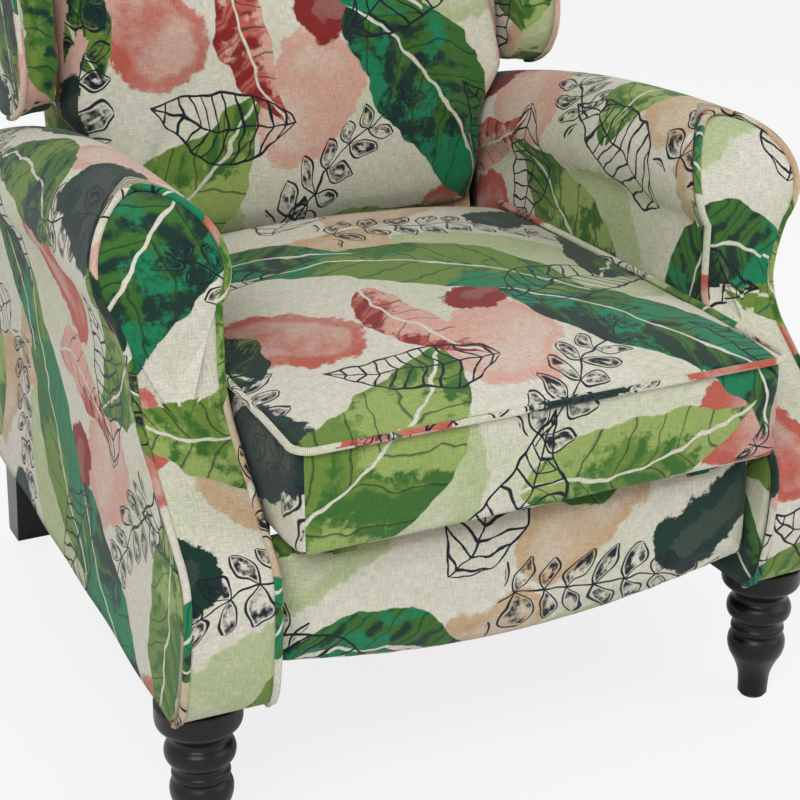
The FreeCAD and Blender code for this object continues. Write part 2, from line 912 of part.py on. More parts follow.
def spring_path(x, front, rear, height):
    """A sinuous spring's path: straight runs across it, joined by half turns."""
    bend, half = float(the.spring_bend), float(the.spring_half_width)
    reach = half - bend
    turns = int((rear - front) // (2.0 * bend))
    start = front + (rear - front - turns * 2.0 * bend) / 2.0
    side, y = 1.0, start
    edges = [Part.LineSegment(Vector(x, y, height), Vector(x + reach, y, height)).toShape()]
    for turn_index in range(turns):
        edge_x = x + side * reach
        middle = Vector(edge_x + side * bend, y + bend, height)
        after = Vector(edge_x, y + 2.0 * bend, height)
        edges.append(Part.Arc(Vector(edge_x, y, height), middle, after).toShape())
        y += 2.0 * bend
        last = turn_index == turns - 1
        end_x = x if last else x - side * reach
        edges.append(Part.LineSegment(after, Vector(end_x, y, height)).toShape())
        side = -side
    return Part.Wire(edges), start, y


def seat_springs():
    """Sinuous springs from the front rail to the rear one, of square wire."""
    wire = float(the.spring_wire)
    thick = float(the.rail_thick)
    front = float(the.seat_frame_front) + thick / 2.0
    rear = float(the.seat_frame_rear) - thick / 2.0
    height = float(the.seat_frame_high + the.seat_fit) + wire / 2.0
    springs, ends = [], []
    for i in range(4):
        x = (i - 1.5) * float(the.spring_spacing)
        path, start, end = spring_path(x, front, rear, height)
        corners = [(0, -1, -1), (0, 1, -1), (0, 1, 1), (0, -1, 1), (0, -1, -1)]
        centre = Vector(x, start, height)
        square = Part.makePolygon([centre + Vector(*corner) * (wire / 2.0) for corner in corners])
        springs.append(path.makePipeShell([square], True, False))
        ends += [(x, start), (x, end)]
    return springs, ends


springs, spring_ends = seat_springs()
spring_set = doc.addObject("Part::Feature", "seat_springs")
spring_set.Shape = Part.makeCompound(springs)
node("seat_springs", spring_set)


def spring_clip(x, y):
    """A steel clip nailed on a rail, with a channel that the wire's end lies in."""
    side, high = float(the.spring_clip), float(the.seat_frame_high)
    wire, fit = float(the.spring_wire), float(the.seat_fit)
    tall = wire + 3.0 * fit + 2.0
    corner = Vector(x - side / 2.0, y - side / 3.0, high)
    clip = Part.makeBox(side, side / 1.5, tall, corner)
    channel = Part.makeBox(side * 3.0, wire + 2.0 * fit, wire + 2.0 * fit)
    channel.translate(Vector(x - side * 1.5, y - wire / 2.0 - fit, high))
    return clip.cut(channel)


clip_set = doc.addObject("Part::Feature", "spring_clips")
clip_set.Shape = Part.makeCompound([spring_clip(x, y) for x, y in spring_ends])
node("spring_clips", clip_set)
clip_top = the.seat_frame_high + the.spring_wire + 3.0 * the.seat_fit + 2.0


def cushion_section(depth, half, low, edge, crown, corner):
    """A seat section from the front: drawn-in sides, a round shoulder and a crowned top."""
    mid = (low + edge) / 2.0
    shoulder_x, shoulder_z = half - corner, edge + (crown - edge) * 0.62
    points = [(-half, low), (half, low), (half, edge), (shoulder_x, shoulder_z)]
    points += [(-shoulder_x, shoulder_z), (-half, edge)]
    point = [Vector(x, depth, z) for x, z in points]
    side_in = half - 3.0
    bulge = corner * 0.17
    shoulder_mid = Vector((half + shoulder_x) / 2.0 + bulge, depth, (edge + shoulder_z) / 2.0 + bulge)
    other_mid = Vector(-shoulder_mid.x, depth, shoulder_mid.z)
    return Part.Wire(
        [
            Part.LineSegment(point[0], point[1]).toShape(),
            Part.Arc(point[1], Vector(side_in, depth, mid), point[2]).toShape(),
            Part.Arc(point[2], shoulder_mid, point[3]).toShape(),
            Part.Arc(point[3], Vector(0, depth, crown), point[4]).toShape(),
            Part.Arc(point[4], other_mid, point[5]).toShape(),
            Part.Arc(point[5], Vector(-side_in, depth, mid), point[0]).toShape(),
        ]
    )


def seat_cushion():
    """The crowned seat: a loft from the front band to the rear, hollow over the frame, and cut
    back where the welt runs round it."""
    front, rear = float(the.seat_front), float(the.seat_rear)
    wide, narrow = float(the.seat_half_front), float(the.seat_half_rear)
    low, edge, crown = float(the.seat_low), float(the.seat_edge), float(the.seat_crown)
    length = rear - front
    stations = (
        (front, wide - 4.0, edge - 2.0, edge + 6.0),
        (front + 0.09 * length, wide, edge + 2.0, edge + 27.0),
        (front + 0.30 * length, wide - 3.0, edge + 6.0, crown - 6.0),
        (front + 0.62 * length, (wide + narrow) / 2.0, edge + 8.0, crown),
        (front + 0.90 * length, narrow + 1.0, edge + 6.0, crown - 6.0),
        (rear, narrow, edge, crown - 24.0),
    )
    sections = [
        cushion_section(depth, half, low, side_edge, top, 34.0) for depth, half, side_edge, top in stations
    ]
    solid = Part.makeLoft(sections, True, False)
    fit = float(the.seat_fit)
    half = float(seat_plate[1]) + fit
    y0, y1 = float(the.seat_frame_front) - fit, float(the.seat_frame_rear) + fit
    top = float(clip_top) + fit
    hollow = Part.makeBox(2.0 * half, y1 - y0, top - low + 20.0, Vector(-half, y0, low - 20.0))
    return solid.cut(hollow)


def seat_welt():
    """The welt along the seam between the seat's top and its band: both sides and the front."""
    wire = float(the.welt_width)
    front, wide = float(the.seat_front), float(the.seat_half_front)
    rear, narrow = float(the.seat_rear), float(the.seat_half_rear)
    level, corner, rise = float(the.seat_edge), 18.0, 1.0

    def ring(grow):
        """The seat's plan outline, moved outwards."""
        w, n, f = wide + grow, narrow + grow, front - grow
        points = [Vector(-n, rear, 0), Vector(-w, f + corner, 0), Vector(-w + corner, f, 0)]
        points += [Vector(w - corner, f, 0), Vector(w, f + corner, 0), Vector(n, rear, 0)]
        slant = corner * (1.0 - math.sqrt(0.5))
        left = Vector(-w + slant, f + slant, 0)
        right = Vector(w - slant, f + slant, 0)
        return points, left, right

    outer, outer_left, outer_right = ring(rise)
    inner, inner_left, inner_right = ring(rise - wire)
    edges = [
        Part.LineSegment(outer[0], outer[1]).toShape(),
        Part.Arc(outer[1], outer_left, outer[2]).toShape(),
        Part.LineSegment(outer[2], outer[3]).toShape(),
        Part.Arc(outer[3], outer_right, outer[4]).toShape(),
        Part.LineSegment(outer[4], outer[5]).toShape(),
        Part.LineSegment(outer[5], inner[5]).toShape(),
        Part.LineSegment(inner[5], inner[4]).toShape(),
        Part.Arc(inner[4], inner_right, inner[3]).toShape(),
        Part.LineSegment(inner[3], inner[2]).toShape(),
        Part.Arc(inner[2], inner_left, inner[1]).toShape(),
        Part.LineSegment(inner[1], inner[0]).toShape(),
        Part.LineSegment(inner[0], outer[0]).toShape(),
    ]
    face = Part.Face(Part.Wire(edges))
    solid = face.extrude(Vector(0, 0, wire))
    solid.translate(Vector(0, 0, level - wire / 2.0))
    return solid


welt_shape = seat_welt()
seat_welt_piece = doc.addObject("Part::Feature", "seat_welt")
seat_welt_piece.Shape = welt_shape
node("seat_welt", seat_welt_piece)
cushion_piece = doc.addObject("Part::Feature", "seat_cushion")
cushion_piece.Shape = seat_cushion().cut(welt_shape)
node("seat_cushion", cushion_piece)

front_pivot = (
    the.rear_pivot_depth + the.link_spacing * cosine(the.main_link_angle),
    the.rear_pivot_height + the.link_spacing * sine(the.main_link_angle),
)


def seat_side_plate():
    """The seat's steel side plate: link pivots in front, slide slots, and an arm to the back."""
    front, rear = the.seat_frame_front + 115.0, the.seat_frame_rear
    height, margin = the.slide_height, 17.0
    high, low = the.seat_frame_high - 13.0, the.seat_low - 3.0
    pin_y, pin_z = the.hinge_depth, the.seat_pin_height
    pivot_y, pivot_z = the.rear_pivot_depth, the.rear_pivot_height
    tail = the.slide_rear + the.seat_travel + 25.0
    stud = the.slide_stud_radius + the.seat_fit
    return side_plate(
        "seat_plate",
        seat_plate,
        [
            (front, pivot_z - margin + 5.0),
            (pivot_y - 14.0, pivot_z - margin),
            (pivot_y + 22.0, pivot_z - margin),
            (pivot_y + 40.0, height - margin - 2.0),
            (tail, height - margin - 2.0),
            (pin_y + 13.0, pin_z - 9.0),
            (pin_y + 13.0, pin_z + 9.0),
            (pin_y - 12.0, pin_z + 12.0),
            (rear + 16.0, low),
            (rear - 3.0, low),
            (rear - 3.0, high),
            (front, high),
        ],
        slots=[
            (depth, depth + the.seat_travel, height, stud) for depth in (the.slide_front, the.slide_rear)
        ],
    )


pair("seat_side_plate", seat_side_plate())

rear_link = (the.rear_link_layer, the.rear_link_layer + the.steel)
front_link = (rear_link[0] - the.link_gap - the.steel, rear_link[0] - the.link_gap)
main_link = (front_link[0] - the.link_gap - the.steel, front_link[0] - the.link_gap)


def pivot_pin(label, x, y, z, inner_head=True, outer_head=True):
    """A riveted pin between two limits, with a head on each end that is asked for."""
    head, thick = the.pin_head, the.pin_head_thick
    parts = [bar(f"{label}_shank", the.pin_radius, x, y, z)]
    if inner_head:
        parts.append(bar(f"{label}_inner", head, (x[0] - thick, x[0]), y, z))
    if outer_head:
        parts.append(bar(f"{label}_outer", head, (x[1], x[1] + thick), y, z))
    return fuse(label, *parts)


def both_sides(label, pieces):
    """A node of right-hand pieces and their mirror images."""
    copies = [mirrored(f"{label}_mirror", piece) for piece in pieces]
    return node(label, group(f"{label}_set", *pieces, *copies))


slack = 0.3
seat_pins = [
    pivot_pin(
        "rear_pivot_pin",
        (rear_link[0] - slack, seat_plate[0]),
        the.rear_pivot_depth,
        the.rear_pivot_height,
        outer_head=False,
    ),
    pivot_pin(
        "front_pivot_pin",
        (front_link[0] - slack, seat_plate[0]),
        *front_pivot,
        outer_head=False,
    ),
    pivot_pin(
        "back_drive_pin",
        (seat_plate[1], seat_plate[1] + the.steel + 2.4),
        the.hinge_depth,
        the.seat_pin_height,
        inner_head=False,
    ),
]
both_sides("seat_pivot_pins", seat_pins)

# Links: on each side a rear and a front link swing together and carry the main link out.


def link(label, layer, length, half_width, start, angle, holes):
    """A flat link with round ends, drawn level and then set at its angle."""
    body = doc.addObject("PartDesign::Body", label)
    sketch = body_sketch(body, "YZ_Plane", 0.0)
    outline(
        sketch,
        [
            (length, -half_width),
            (length + half_width, 0.0, half_width),
            (length, half_width, half_width),
            (0.0, half_width),
            (-half_width, 0.0, half_width),
            (0.0, -half_width, half_width),
        ],
    )
    for centre in holes:
        hole(sketch, *centre)
    pad(body, sketch, layer[1] - layer[0])
    turn(body, (1, 0, 0), angle)
    return place(body, layer[0], *start)


running, loose = the.pin_radius + the.pin_fit, the.pin_radius + the.open_pin_fit
reach_y = the.rear_link_length * cosine(the.rear_link_angle)
reach_z = the.rear_link_length * sine(the.rear_link_angle)
rear_start = (the.rear_pivot_depth, the.rear_pivot_height)
rear_end = (rear_start[0] + reach_y, rear_start[1] + reach_z)
front_end = (front_pivot[0] + reach_y, front_pivot[1] + reach_z)
main_end = (
    rear_end[0] + the.main_link_length * cosine(the.main_link_angle),
    rear_end[1] + the.main_link_length * sine(the.main_link_angle),
)

length = the.rear_link_length
rear_link_plate = link(
    "rear_link",
    rear_link,
    length,
    the.link_half_width,
    rear_start,
    the.rear_link_angle,
    [(0.0, 0.0, running), (length, 0.0, the.pin_radius)],
)
front_link_plate = link(
    "front_link",
    front_link,
    length,
    the.front_link_half_width,
    front_pivot,
    the.rear_link_angle,
    [(0.0, 0.0, running), (length, 0.0, loose)],
)
main_link_plate = link(
    "main_link",
    main_link,
    the.main_link_length,
    the.main_link_half_width,
    rear_end,
    the.main_link_angle,
    [
        (0.0, 0.0, running),
        (the.link_spacing, 0.0, the.pin_radius),
        (the.main_link_length, 0.0, the.pin_radius),
    ],
)
both_sides("rear_links", [rear_link_plate])
both_sides("front_links", [front_link_plate])
both_sides("main_links", [main_link_plate])

tube_share = the.torque_tube_place / the.rear_link_length
node(
    "torque_tube",
    bar(
        "link_tube",
        the.torque_tube_radius,
        (-rear_link[0], rear_link[0]),
        rear_start[0] + reach_y * tube_share,
        rear_start[1] + reach_z * tube_share,
    ),
)
both_sides(
    "rear_link_pins",
    [pivot_pin("rear_link_pin", (main_link[0] - slack, rear_link[1]), *rear_end)],
)
bracket = rear_link
both_sides(
    "main_link_pins",
    [
        pivot_pin(
            "open_pivot_pin",
            (main_link[0], front_link[1] + slack),
            *front_end,
            inner_head=False,
        ),
        pivot_pin("footrest_pin", (main_link[0], bracket[1] + slack), *main_end),
    ],
)

# Footrest: a padded board, hung between the arms on two steel brackets.


def footrest_outline(inset):
    """The footrest's outline from the front, with its curved lower edge."""
    half, high = the.footrest_half - inset, the.footrest_high - inset
    corner, belly = the.footrest_corner + inset, the.footrest_belly + inset
    rise = corner - belly
    radius = (half * half + rise * rise) / (2.0 * rise)
    return [(half, high), (-half, high), (-half, corner), (half, corner, radius)]


board_front = the.footrest_front + the.footrest_pad
board_back = board_front + the.footrest_board
board_outline = footrest_outline(the.footrest_margin)
node("footrest_board", front_plate("board", (board_front, board_back), board_outline))


def footrest_cover():
    """The padding and cover over the board's front and edges."""
    body = front_plate("footrest_cover", (the.footrest_front, board_back), footrest_outline(0.0))
    hollow = body_sketch(body, "XZ_Plane", -board_back)
    outline(hollow, board_outline)
    pocket(body, hollow, the.footrest_board)
    return body


node("footrest_pad", footrest_cover())


def footrest_bracket():
    """A bent steel bracket, screwed to the board and pinned to the main link."""
    y, z = main_end
    web = side_plate(
        "bracket_web",
        bracket,
        [
            (board_back, z - 45.0),
            (board_back + 8.0, z - 45.0),
            (y + 11.0, z - 9.0),
            (y + 11.0, z + 7.0),
            (y - 2.0, z + 12.0),
            (board_back, z + 30.0),
        ],
        holes=[(y, z, running)],
    )
    foot_x = (bracket[0] - 26.0, bracket[1])
    foot = block("bracket_foot", foot_x, (board_back, board_back + the.steel), (z - 60.0, z - 30.0))
    return fuse("footrest_bracket", web, foot)


pair("footrest_bracket", footrest_bracket())

# Back: plywood sides and cross rails, webbing, a crowned cushion and a covered outside panel.


def back_point(depth, height):
    """Where a point of the back's own raked frame lies, in Y and Z."""
    cos, sin = cosine(the.back_rake), sine(the.back_rake)
    y = the.back_front + depth * cos + height * sin
    z = the.back_level - depth * sin + height * cos
    return y, z


def raked(thing, x, depth, height):
    """Sets a piece drawn in the back's own frame at its place in the chair."""
    turn(thing, (-1, 0, 0), the.back_rake)
    return place(thing, x, *back_point(depth, height))


def raked_block(label, x, depth, height):
    """A box in the back's raked frame."""
    box = doc.addObject("Part::Box", label)
    for side, (low, high) in (("Length", x), ("Width", depth), ("Height", height)):
        bind(box, side, high - low)
    return raked(box, x[0], depth[0], height[0])


frame_face = the.back_pad + the.back_webbing
back_rise = the.back_top - the.back_base
back_lean = (the.back_rear_high - the.back_rear_low) / back_rise
lean_stretch = root(1.0 + back_lean * back_lean)


def back_rear(height):
    """The depth of the outside panel's outer face, at a height."""
    return the.back_rear_low + (height - the.back_base) * back_lean


def back_side():
    """A plywood side of the back, with its foot behind the seat."""
    top = back_point(frame_face, the.back_pad_high + the.back_side_rise)
    low = the.seat_pin_height + the.back_side_gap
    front_low = back_point(frame_face, (low - the.back_level) / cosine(the.back_rake) + 18.0)
    cover = the.back_cover * lean_stretch
    body = doc.addObject("PartDesign::Body", "back_side")
    sketch = body_sketch(body, "YZ_Plane", the.back_side_outer - the.back_side_thick)
    foot = the.back_base + the.back_foot_gap
    foot_rear = back_rear(foot) - cover
    outline(
        sketch,
        [
            (front_low[0], low),
            (foot_rear - the.back_foot_deep, low),
            (foot_rear - the.back_foot_deep, foot),
            (foot_rear, foot),
            (back_rear(top[1] - 22.0) - cover, top[1] - 22.0),
            top,
        ],
    )
    hole(sketch, the.hinge_depth, hinge_height, the.hinge_pin_radius + 3.0)
    pad(body, sketch, the.back_side_thick)
    return body


pair("back_side", back_side())

rail_x = (the.back_side_thick - the.back_side_outer, the.back_side_outer - the.back_side_thick)
rail_depth = (frame_face, frame_face + the.rail_thick)
back_rails = []
top_rail = the.back_pad_high - the.back_rail_margin
for start in (the.back_pad_low + the.back_foot_gap, the.back_rail_middle, top_rail):
    limits = (start, start + the.back_rail_tall)
    back_rails.append(raked_block("back_rail", rail_x, rail_depth, limits))
foot_low = the.back_base + the.back_foot_gap
foot_front = back_rear(foot_low) - the.back_cover - the.rail_thick
back_rails.append(
    block(
        "back_foot_rail",
        rail_x,
        (foot_front, foot_front + the.rail_thick - 1.0),
        (foot_low, foot_low + the.back_foot_tall),
    )
)
node("back_cross_rails", group("back_rail_set", *back_rails))

wing_blocks = []
block_x = (the.back_side_outer, the.wing_inner)
for start in (the.back_rail_middle, top_rail):
    limits = (start, start + the.back_rail_tall)
    wing_blocks.append(raked_block("wing_block", block_x, (frame_face, frame_face + 60.0), limits))
both_sides("wing_blocks", wing_blocks)

straps = []
strap_depth = (the.back_pad, frame_face)
strap_x = (-the.back_side_outer, the.back_side_outer)
for first, copies in ((the.strap_low, 2), (the.strap_high, 3)):
    for copy in range(copies):
        start = first + the.strap_pitch * copy
        straps.append(raked_block("back_strap", strap_x, strap_depth, (start, start + the.strap_wide)))
node("back_webbing", group("strap_set", *straps))


def back_section(height, half, front, side_front, rear):
    """A level slice of the back cushion in its own frame: a crowned front, rounded at its sides."""
    round_side = 26.0
    corner = Vector(half - round_side, side_front, height)
    edge = Vector(half, side_front + round_side, height)
    bend = round_side * (1.0 - math.sqrt(0.5))
    middle = Vector(half - bend, side_front + bend, height)
    rear_edge = Vector(half, rear, height)

    def flipped(point):
        return Vector(-point.x, point.y, point.z)

    return Part.Wire(
        [
            Part.LineSegment(flipped(rear_edge), rear_edge).toShape(),
            Part.LineSegment(rear_edge, edge).toShape(),
            Part.Arc(edge, middle, corner).toShape(),
            Part.Arc(corner, Vector(0, front, height), flipped(corner)).toShape(),
            Part.Arc(flipped(corner), flipped(middle), flipped(edge)).toShape(),
            Part.LineSegment(flipped(edge), flipped(rear_edge)).toShape(),
        ]
    )


def back_cushion():
    """The inside back: crowned, drawn in at its ends, tucked down behind the seat at its foot,
    and notched to stand between the arms."""
    low, high = float(the.back_pad_low), float(the.back_pad_high)
    wide, narrow, rear = float(the.back_half_high), float(the.back_half_low), float(the.back_pad)
    crowns = (66.0, 10.0, -6.0, -13.0, -14.0, -12.0, -10.0, -6.0, 0.0, 26.0)
    sides = (70.0, 19.0, 7.0, 5.0, 5.0, 6.0, 6.0, 8.0, 11.0, 34.0)
    step = (high - low) / (len(crowns) - 1)
    slices = []
    for i, (crown, side) in enumerate(zip(crowns, sides)):
        slices.append(back_section(low + i * step, wide, crown, side, rear))
    solid = Part.makeLoft(slices, True, False)
    notch_high = float(the.back_notch_high)
    notches = []
    for sign in (-1.0, 1.0):
        corner = Vector(min(sign * narrow, sign * (narrow + 80.0)), -60.0, low - 20.0)
        notches.append(Part.makeBox(80.0, 200.0, notch_high - low + 20.0, corner))
    return solid.cut(notches)


cushion = doc.addObject("Part::Feature", "back_cushion")
cushion.Shape = back_cushion()
raked(cushion, 0.0, 0.0, 0.0)
node("back_cushion", cushion)


wing_low = arm_roll_at(the.wing_front + the.wing_chin) + the.roll_middle_radius + the.wing_gap


def outside_back():
    """The covered outside panel: narrow between the arms, wide behind the wings."""
    body = doc.addObject("PartDesign::Body", "outside_panel")
    sketch = body_sketch(body, "XZ_Plane", 0.0)
    narrow, wide = the.back_half_low, the.wing_outer - 2.0
    step = (wing_low + the.outside_step - the.back_base) * lean_stretch
    high = back_rise * lean_stretch
    corner = 60.0
    outline(
        sketch,
        [
            (narrow, 0.0),
            (narrow, step - 20.0),
            (wide, step),
            (wide, high - corner),
            (wide - corner, high, corner),
            (corner - wide, high),
            (-wide, high - corner, corner),
            (-wide, step),
            (-narrow, step - 20.0),
            (-narrow, 0.0),
        ],
    )
    pad(body, sketch, the.back_cover)
    turn(body, (-1, 0, 0), arc_tangent(back_lean))
    return place(body, 0.0, the.back_rear_low, the.back_base)


node("outside_back", outside_back())


def back_top():
    """The padded roll along the top of the back, over the frame's top ends."""
    cushion_top = back_point(1.0, the.back_pad_high + the.seat_fit)
    cushion_rear = back_point(frame_face - 1.0, the.back_pad_high + the.seat_fit)
    side_top = back_point(frame_face - 1.0, the.back_pad_high + 45.5)
    rear_low = back_rear(side_top[1] - 22.0) - the.back_cover - 0.5
    high = the.back_top - 4.0
    half = the.wing_inner - the.seat_fit
    return side_plate(
        "top_roll",
        (-half, half),
        [
            cushion_top,
            cushion_rear,
            side_top,
            (rear_low, side_top[1] - 21.0),
            (back_rear(high) - the.back_cover - 0.5, high),
            (cushion_top[0] + 34.0, high),
            (cushion_top[0] + 4.0, cushion_top[1] + 22.0, 46.0),
        ],
    )


node("back_top_roll", back_top())

# Wings: padded panels on plywood boards, bolted to the ends of the back's rails.


def wing_outline(inset):
    """A wing from the side, with a rounded lower front corner that clears the arm."""
    front, high, low = the.wing_front + inset, the.wing_high - inset, wing_low + inset
    rear_low = low + the.wing_rise
    cover = the.back_cover + 0.5
    return [
        (front + the.wing_chin, low),
        (front + 190.0, low + 77.0),
        (back_rear(rear_low) - cover, rear_low),
        (back_rear(high) - cover, high),
        (front + 128.0, high),
        (the.wing_front_high + inset, high - 150.0, 160.0),
        (front, low + 74.0),
        (front + 58.0, low + 7.0, 66.0),
    ]


board_low, board_high = wing_low + the.wing_board_low, the.wing_high - the.wing_board_high
wing_board_profile = [
    (the.wing_front + the.wing_chin, board_low),
    (back_rear(board_low) - the.back_cover - 8.0, board_low),
    (back_rear(board_high) - the.back_cover - 12.0, board_high),
    (the.wing_front + 155.0, board_high),
]
board_x = (the.wing_inner, the.wing_inner + the.wing_board)
pair("wing_board", side_plate("wing_ply", board_x, wing_board_profile))

welt_x = (the.wing_outer - the.welt_width, the.wing_outer)


def wing_welt():
    """The welt along the wing's front edge, on its outer side."""
    band = side_plate("wing_band", welt_x, wing_outline(0.0))
    inner = side_plate("wing_band_inner", (welt_x[0] - 1.0, welt_x[1] + 1.0), wing_outline(the.welt_width))
    ring = cut("wing_ring", band, inner)
    reach = (the.wing_front + 110.0, the.arm_rear + 90.0)
    rest_x, rest_z = (welt_x[0] - 2.0, welt_x[1] + 2.0), (wing_low - 20.0, the.wing_high + 20.0)
    rest = block("wing_ring_rest", rest_x, reach, rest_z)
    return cut("wing_welt", ring, rest)


def wing():
    """The wing's padding and cover, hollow where its board lies in it."""
    body = side_plate("wing_cover", (the.wing_inner, the.wing_outer), wing_outline(0.0))
    hollow = body_sketch(body, "YZ_Plane", the.wing_inner)
    outline(hollow, wing_board_profile)
    pocket(body, hollow, the.wing_board)
    return body


right_welt = wing_welt()
pair("wing", cut("wing_welted", wing(), right_welt))
pair("wing_welt", right_welt)


def back_bracket():
    """The steel bracket on the back's side: the pivot bore, and a slot that draws the seat."""
    y, z = the.hinge_depth, hinge_height
    play = the.pin_radius + the.hinge_slot_play
    pin_drop = hinge_height - the.seat_pin_height
    deepest = root(pin_drop * pin_drop + the.seat_travel * the.seat_travel)
    low = z - deepest - play - 8.0
    body = doc.addObject("PartDesign::Body", "back_bracket")
    sketch = body_sketch(body, "YZ_Plane", the.back_side_outer)
    outline(
        sketch,
        [
            (y - 14.0, low),
            (y + 14.0, low),
            (y + 30.0, z - 50.0),
            (y + 44.0, z + 34.0),
            (y - 24.0, z + 34.0),
            (y - 24.0, z - 50.0),
        ],
    )
    hole(sketch, y, z, the.hinge_pin_radius + the.pin_fit)
    top, bottom = z - pin_drop + 1.5, z - deepest - 1.0
    outline(
        sketch,
        [
            (y - play, bottom),
            (y, bottom - play, play),
            (y + play, bottom, play),
            (y + play, top),
            (y, top + play, play),
            (y - play, top, play),
        ],
    )
    for dy, dz in ((26.0, 22.0), (-14.0, 22.0), (18.0, -20.0)):
        hole(sketch, y + dy, z + dz, the.bolt_radius - 1.0)
    pad(body, sketch, the.steel)
    return body


pair("back_bracket", back_bracket())

# The document is checked before anything is written.

doc.recompute()
for thing in doc.Objects:
    if "Invalid" in thing.State or "Error" in thing.State:
        raise RuntimeError(f"{thing.Label} failed: {thing.State}")
os.makedirs("parts", exist_ok=True)
for thing in nodes:
    shape = thing.Shape
    if shape.isNull() or not shape.isValid() or not shape.Solids:
        raise RuntimeError(f"{thing.Label} is not a sound solid")
for thing in nodes:
    thing.Shape.exportStep(f"parts/{thing.Label}.step")
print(f"{len(nodes)} nodes, {sum(len(thing.Shape.Solids) for thing in nodes)} solids")
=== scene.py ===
"""The looks of a push-back wingback recliner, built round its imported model.

Sizes are in millimetres, as on a workshop drawing, and become metres in the meshes.
"""

import bmesh
import bpy
import math
import numpy as np
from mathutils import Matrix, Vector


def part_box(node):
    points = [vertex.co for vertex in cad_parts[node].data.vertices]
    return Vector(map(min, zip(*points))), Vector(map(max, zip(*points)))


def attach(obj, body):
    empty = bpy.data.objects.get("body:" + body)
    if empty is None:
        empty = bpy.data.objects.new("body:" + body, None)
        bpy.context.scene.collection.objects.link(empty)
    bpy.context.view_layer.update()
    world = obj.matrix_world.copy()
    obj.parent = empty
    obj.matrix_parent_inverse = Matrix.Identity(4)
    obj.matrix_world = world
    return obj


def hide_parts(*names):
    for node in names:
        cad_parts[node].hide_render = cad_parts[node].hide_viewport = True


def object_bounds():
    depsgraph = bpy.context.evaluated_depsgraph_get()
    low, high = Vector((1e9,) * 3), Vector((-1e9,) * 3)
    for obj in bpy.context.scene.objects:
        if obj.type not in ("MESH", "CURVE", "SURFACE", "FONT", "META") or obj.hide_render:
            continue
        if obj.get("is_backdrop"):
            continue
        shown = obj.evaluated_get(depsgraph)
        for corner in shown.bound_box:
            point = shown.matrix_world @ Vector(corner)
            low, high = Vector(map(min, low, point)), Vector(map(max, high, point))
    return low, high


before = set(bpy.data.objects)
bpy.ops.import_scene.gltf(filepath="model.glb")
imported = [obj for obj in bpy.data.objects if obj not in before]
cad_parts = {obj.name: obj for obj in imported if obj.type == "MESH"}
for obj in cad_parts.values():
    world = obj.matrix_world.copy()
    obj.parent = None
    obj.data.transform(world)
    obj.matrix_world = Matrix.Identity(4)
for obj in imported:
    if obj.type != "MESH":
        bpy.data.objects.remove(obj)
cad_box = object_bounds()

# The camera looks down at the chair from its front left, close enough that the top of the back
# and the outer sides of the arms are out of view.

aim = np.array([0.0127, -0.0749, 0.3001])
azimuth, elevation, distance = math.radians(-25.8383), math.radians(22.7419), 2.0694
away = np.array(
    [
        math.sin(azimuth) * math.cos(elevation),
        -math.cos(azimuth) * math.cos(elevation),
        math.sin(elevation),
    ]
)
lens = bpy.data.cameras.new("photo_camera")
lens.lens, lens.sensor_width = 88.19, 36.0
camera = bpy.data.objects.new("photo_camera", lens)
camera.location = aim + away * distance
camera.rotation_euler = (math.pi / 2.0 - elevation, 0.0, azimuth)
bpy.context.scene.collection.objects.link(camera)
bpy.context.scene.camera = camera
bpy.context.scene.view_settings.view_transform = "Standard"

# Black turned front legs and square raked rear ones: beech, sanded, stained and lacquered to a
# satin shine. The front ones come off a lathe, with a ball, a cove, a ring and a long vase.


class Wire:
    """A socket in a material's nodes. Arithmetic on it adds the Math nodes that work it out."""

    def __init__(self, tree, socket=None):
        self.tree, self.socket = tree, socket

    def node(self, kind, settings=None, inputs=None, output=0):
        """Adds a node of a type, with its settings first and then its sockets' values or links."""
        made = self.tree.nodes.new("ShaderNode" + kind)
        for name, value in (settings or {}).items():
            if name == "stops":
                ramp = made.color_ramp
                while len(ramp.elements) < len(value):
                    ramp.elements.new(0.5)
                for element, (place, colour) in zip(ramp.elements, value):
                    element.position, element.color = place, (*colour, 1.0)
            else:
                setattr(made, name, value)
        for name, value in (inputs or {}).items():
            if isinstance(value, Wire):
                self.tree.links.new(value.socket, made.inputs[name])
            else:
                made.inputs[name].default_value = value
        return Wire(self.tree, made.outputs[output])

    def beside(self, output):
        """Another output of the same node."""
        return Wire(self.tree, self.socket.node.outputs[output])

    def math(self, operation, *values):
        return self.node("Math", {"operation": operation}, dict(enumerate(values)))

    def __add__(self, other):
        return self.math("ADD", self, other)

    def __sub__(self, other):
        return self.math("SUBTRACT", self, other)

    def __rsub__(self, other):
        return self.math("SUBTRACT", other, self)

    def __mul__(self, other):
        return self.math("MULTIPLY", self, other)

    def __truediv__(self, other):
        return self.math("DIVIDE", self, other)

    def __pow__(self, other):
        return self.math("POWER", self, other)

    def __abs__(self):
        return self.math("ABSOLUTE", self)

    __radd__, __rmul__ = __add__, __mul__

    def rise(self, low, high):
        """Goes smoothly from 0 to 1 while the value goes from low to high."""
        smooth = {"interpolation_type": "SMOOTHSTEP"}
        return self.node("MapRange", smooth, {0: self, 1: low, 2: high})

    def blend(self, under, over):
        """Mixes two colours, with this value as the share of the second."""
        colours = {0: self, 6: colour_of(under), 7: colour_of(over)}
        return self.node("Mix", {"data_type": "RGBA"}, colours, 2)

    def noise(self, place, scale, detail, size="3D", output=0, **more):
        """Cloudy noise at a place: its scale is in blotches a metre, its detail in finer layers."""
        sockets = {"Vector": place, "Scale": scale, "Detail": detail, **more}
        return self.node("TexNoise", {"noise_dimensions": size}, sockets, output)

    def bump(self, strength, distance):
        """The normal of a surface on which this value is a height."""
        sockets = {"Strength": strength, "Distance": distance, "Height": self}
        return self.node("Bump", inputs=sockets)


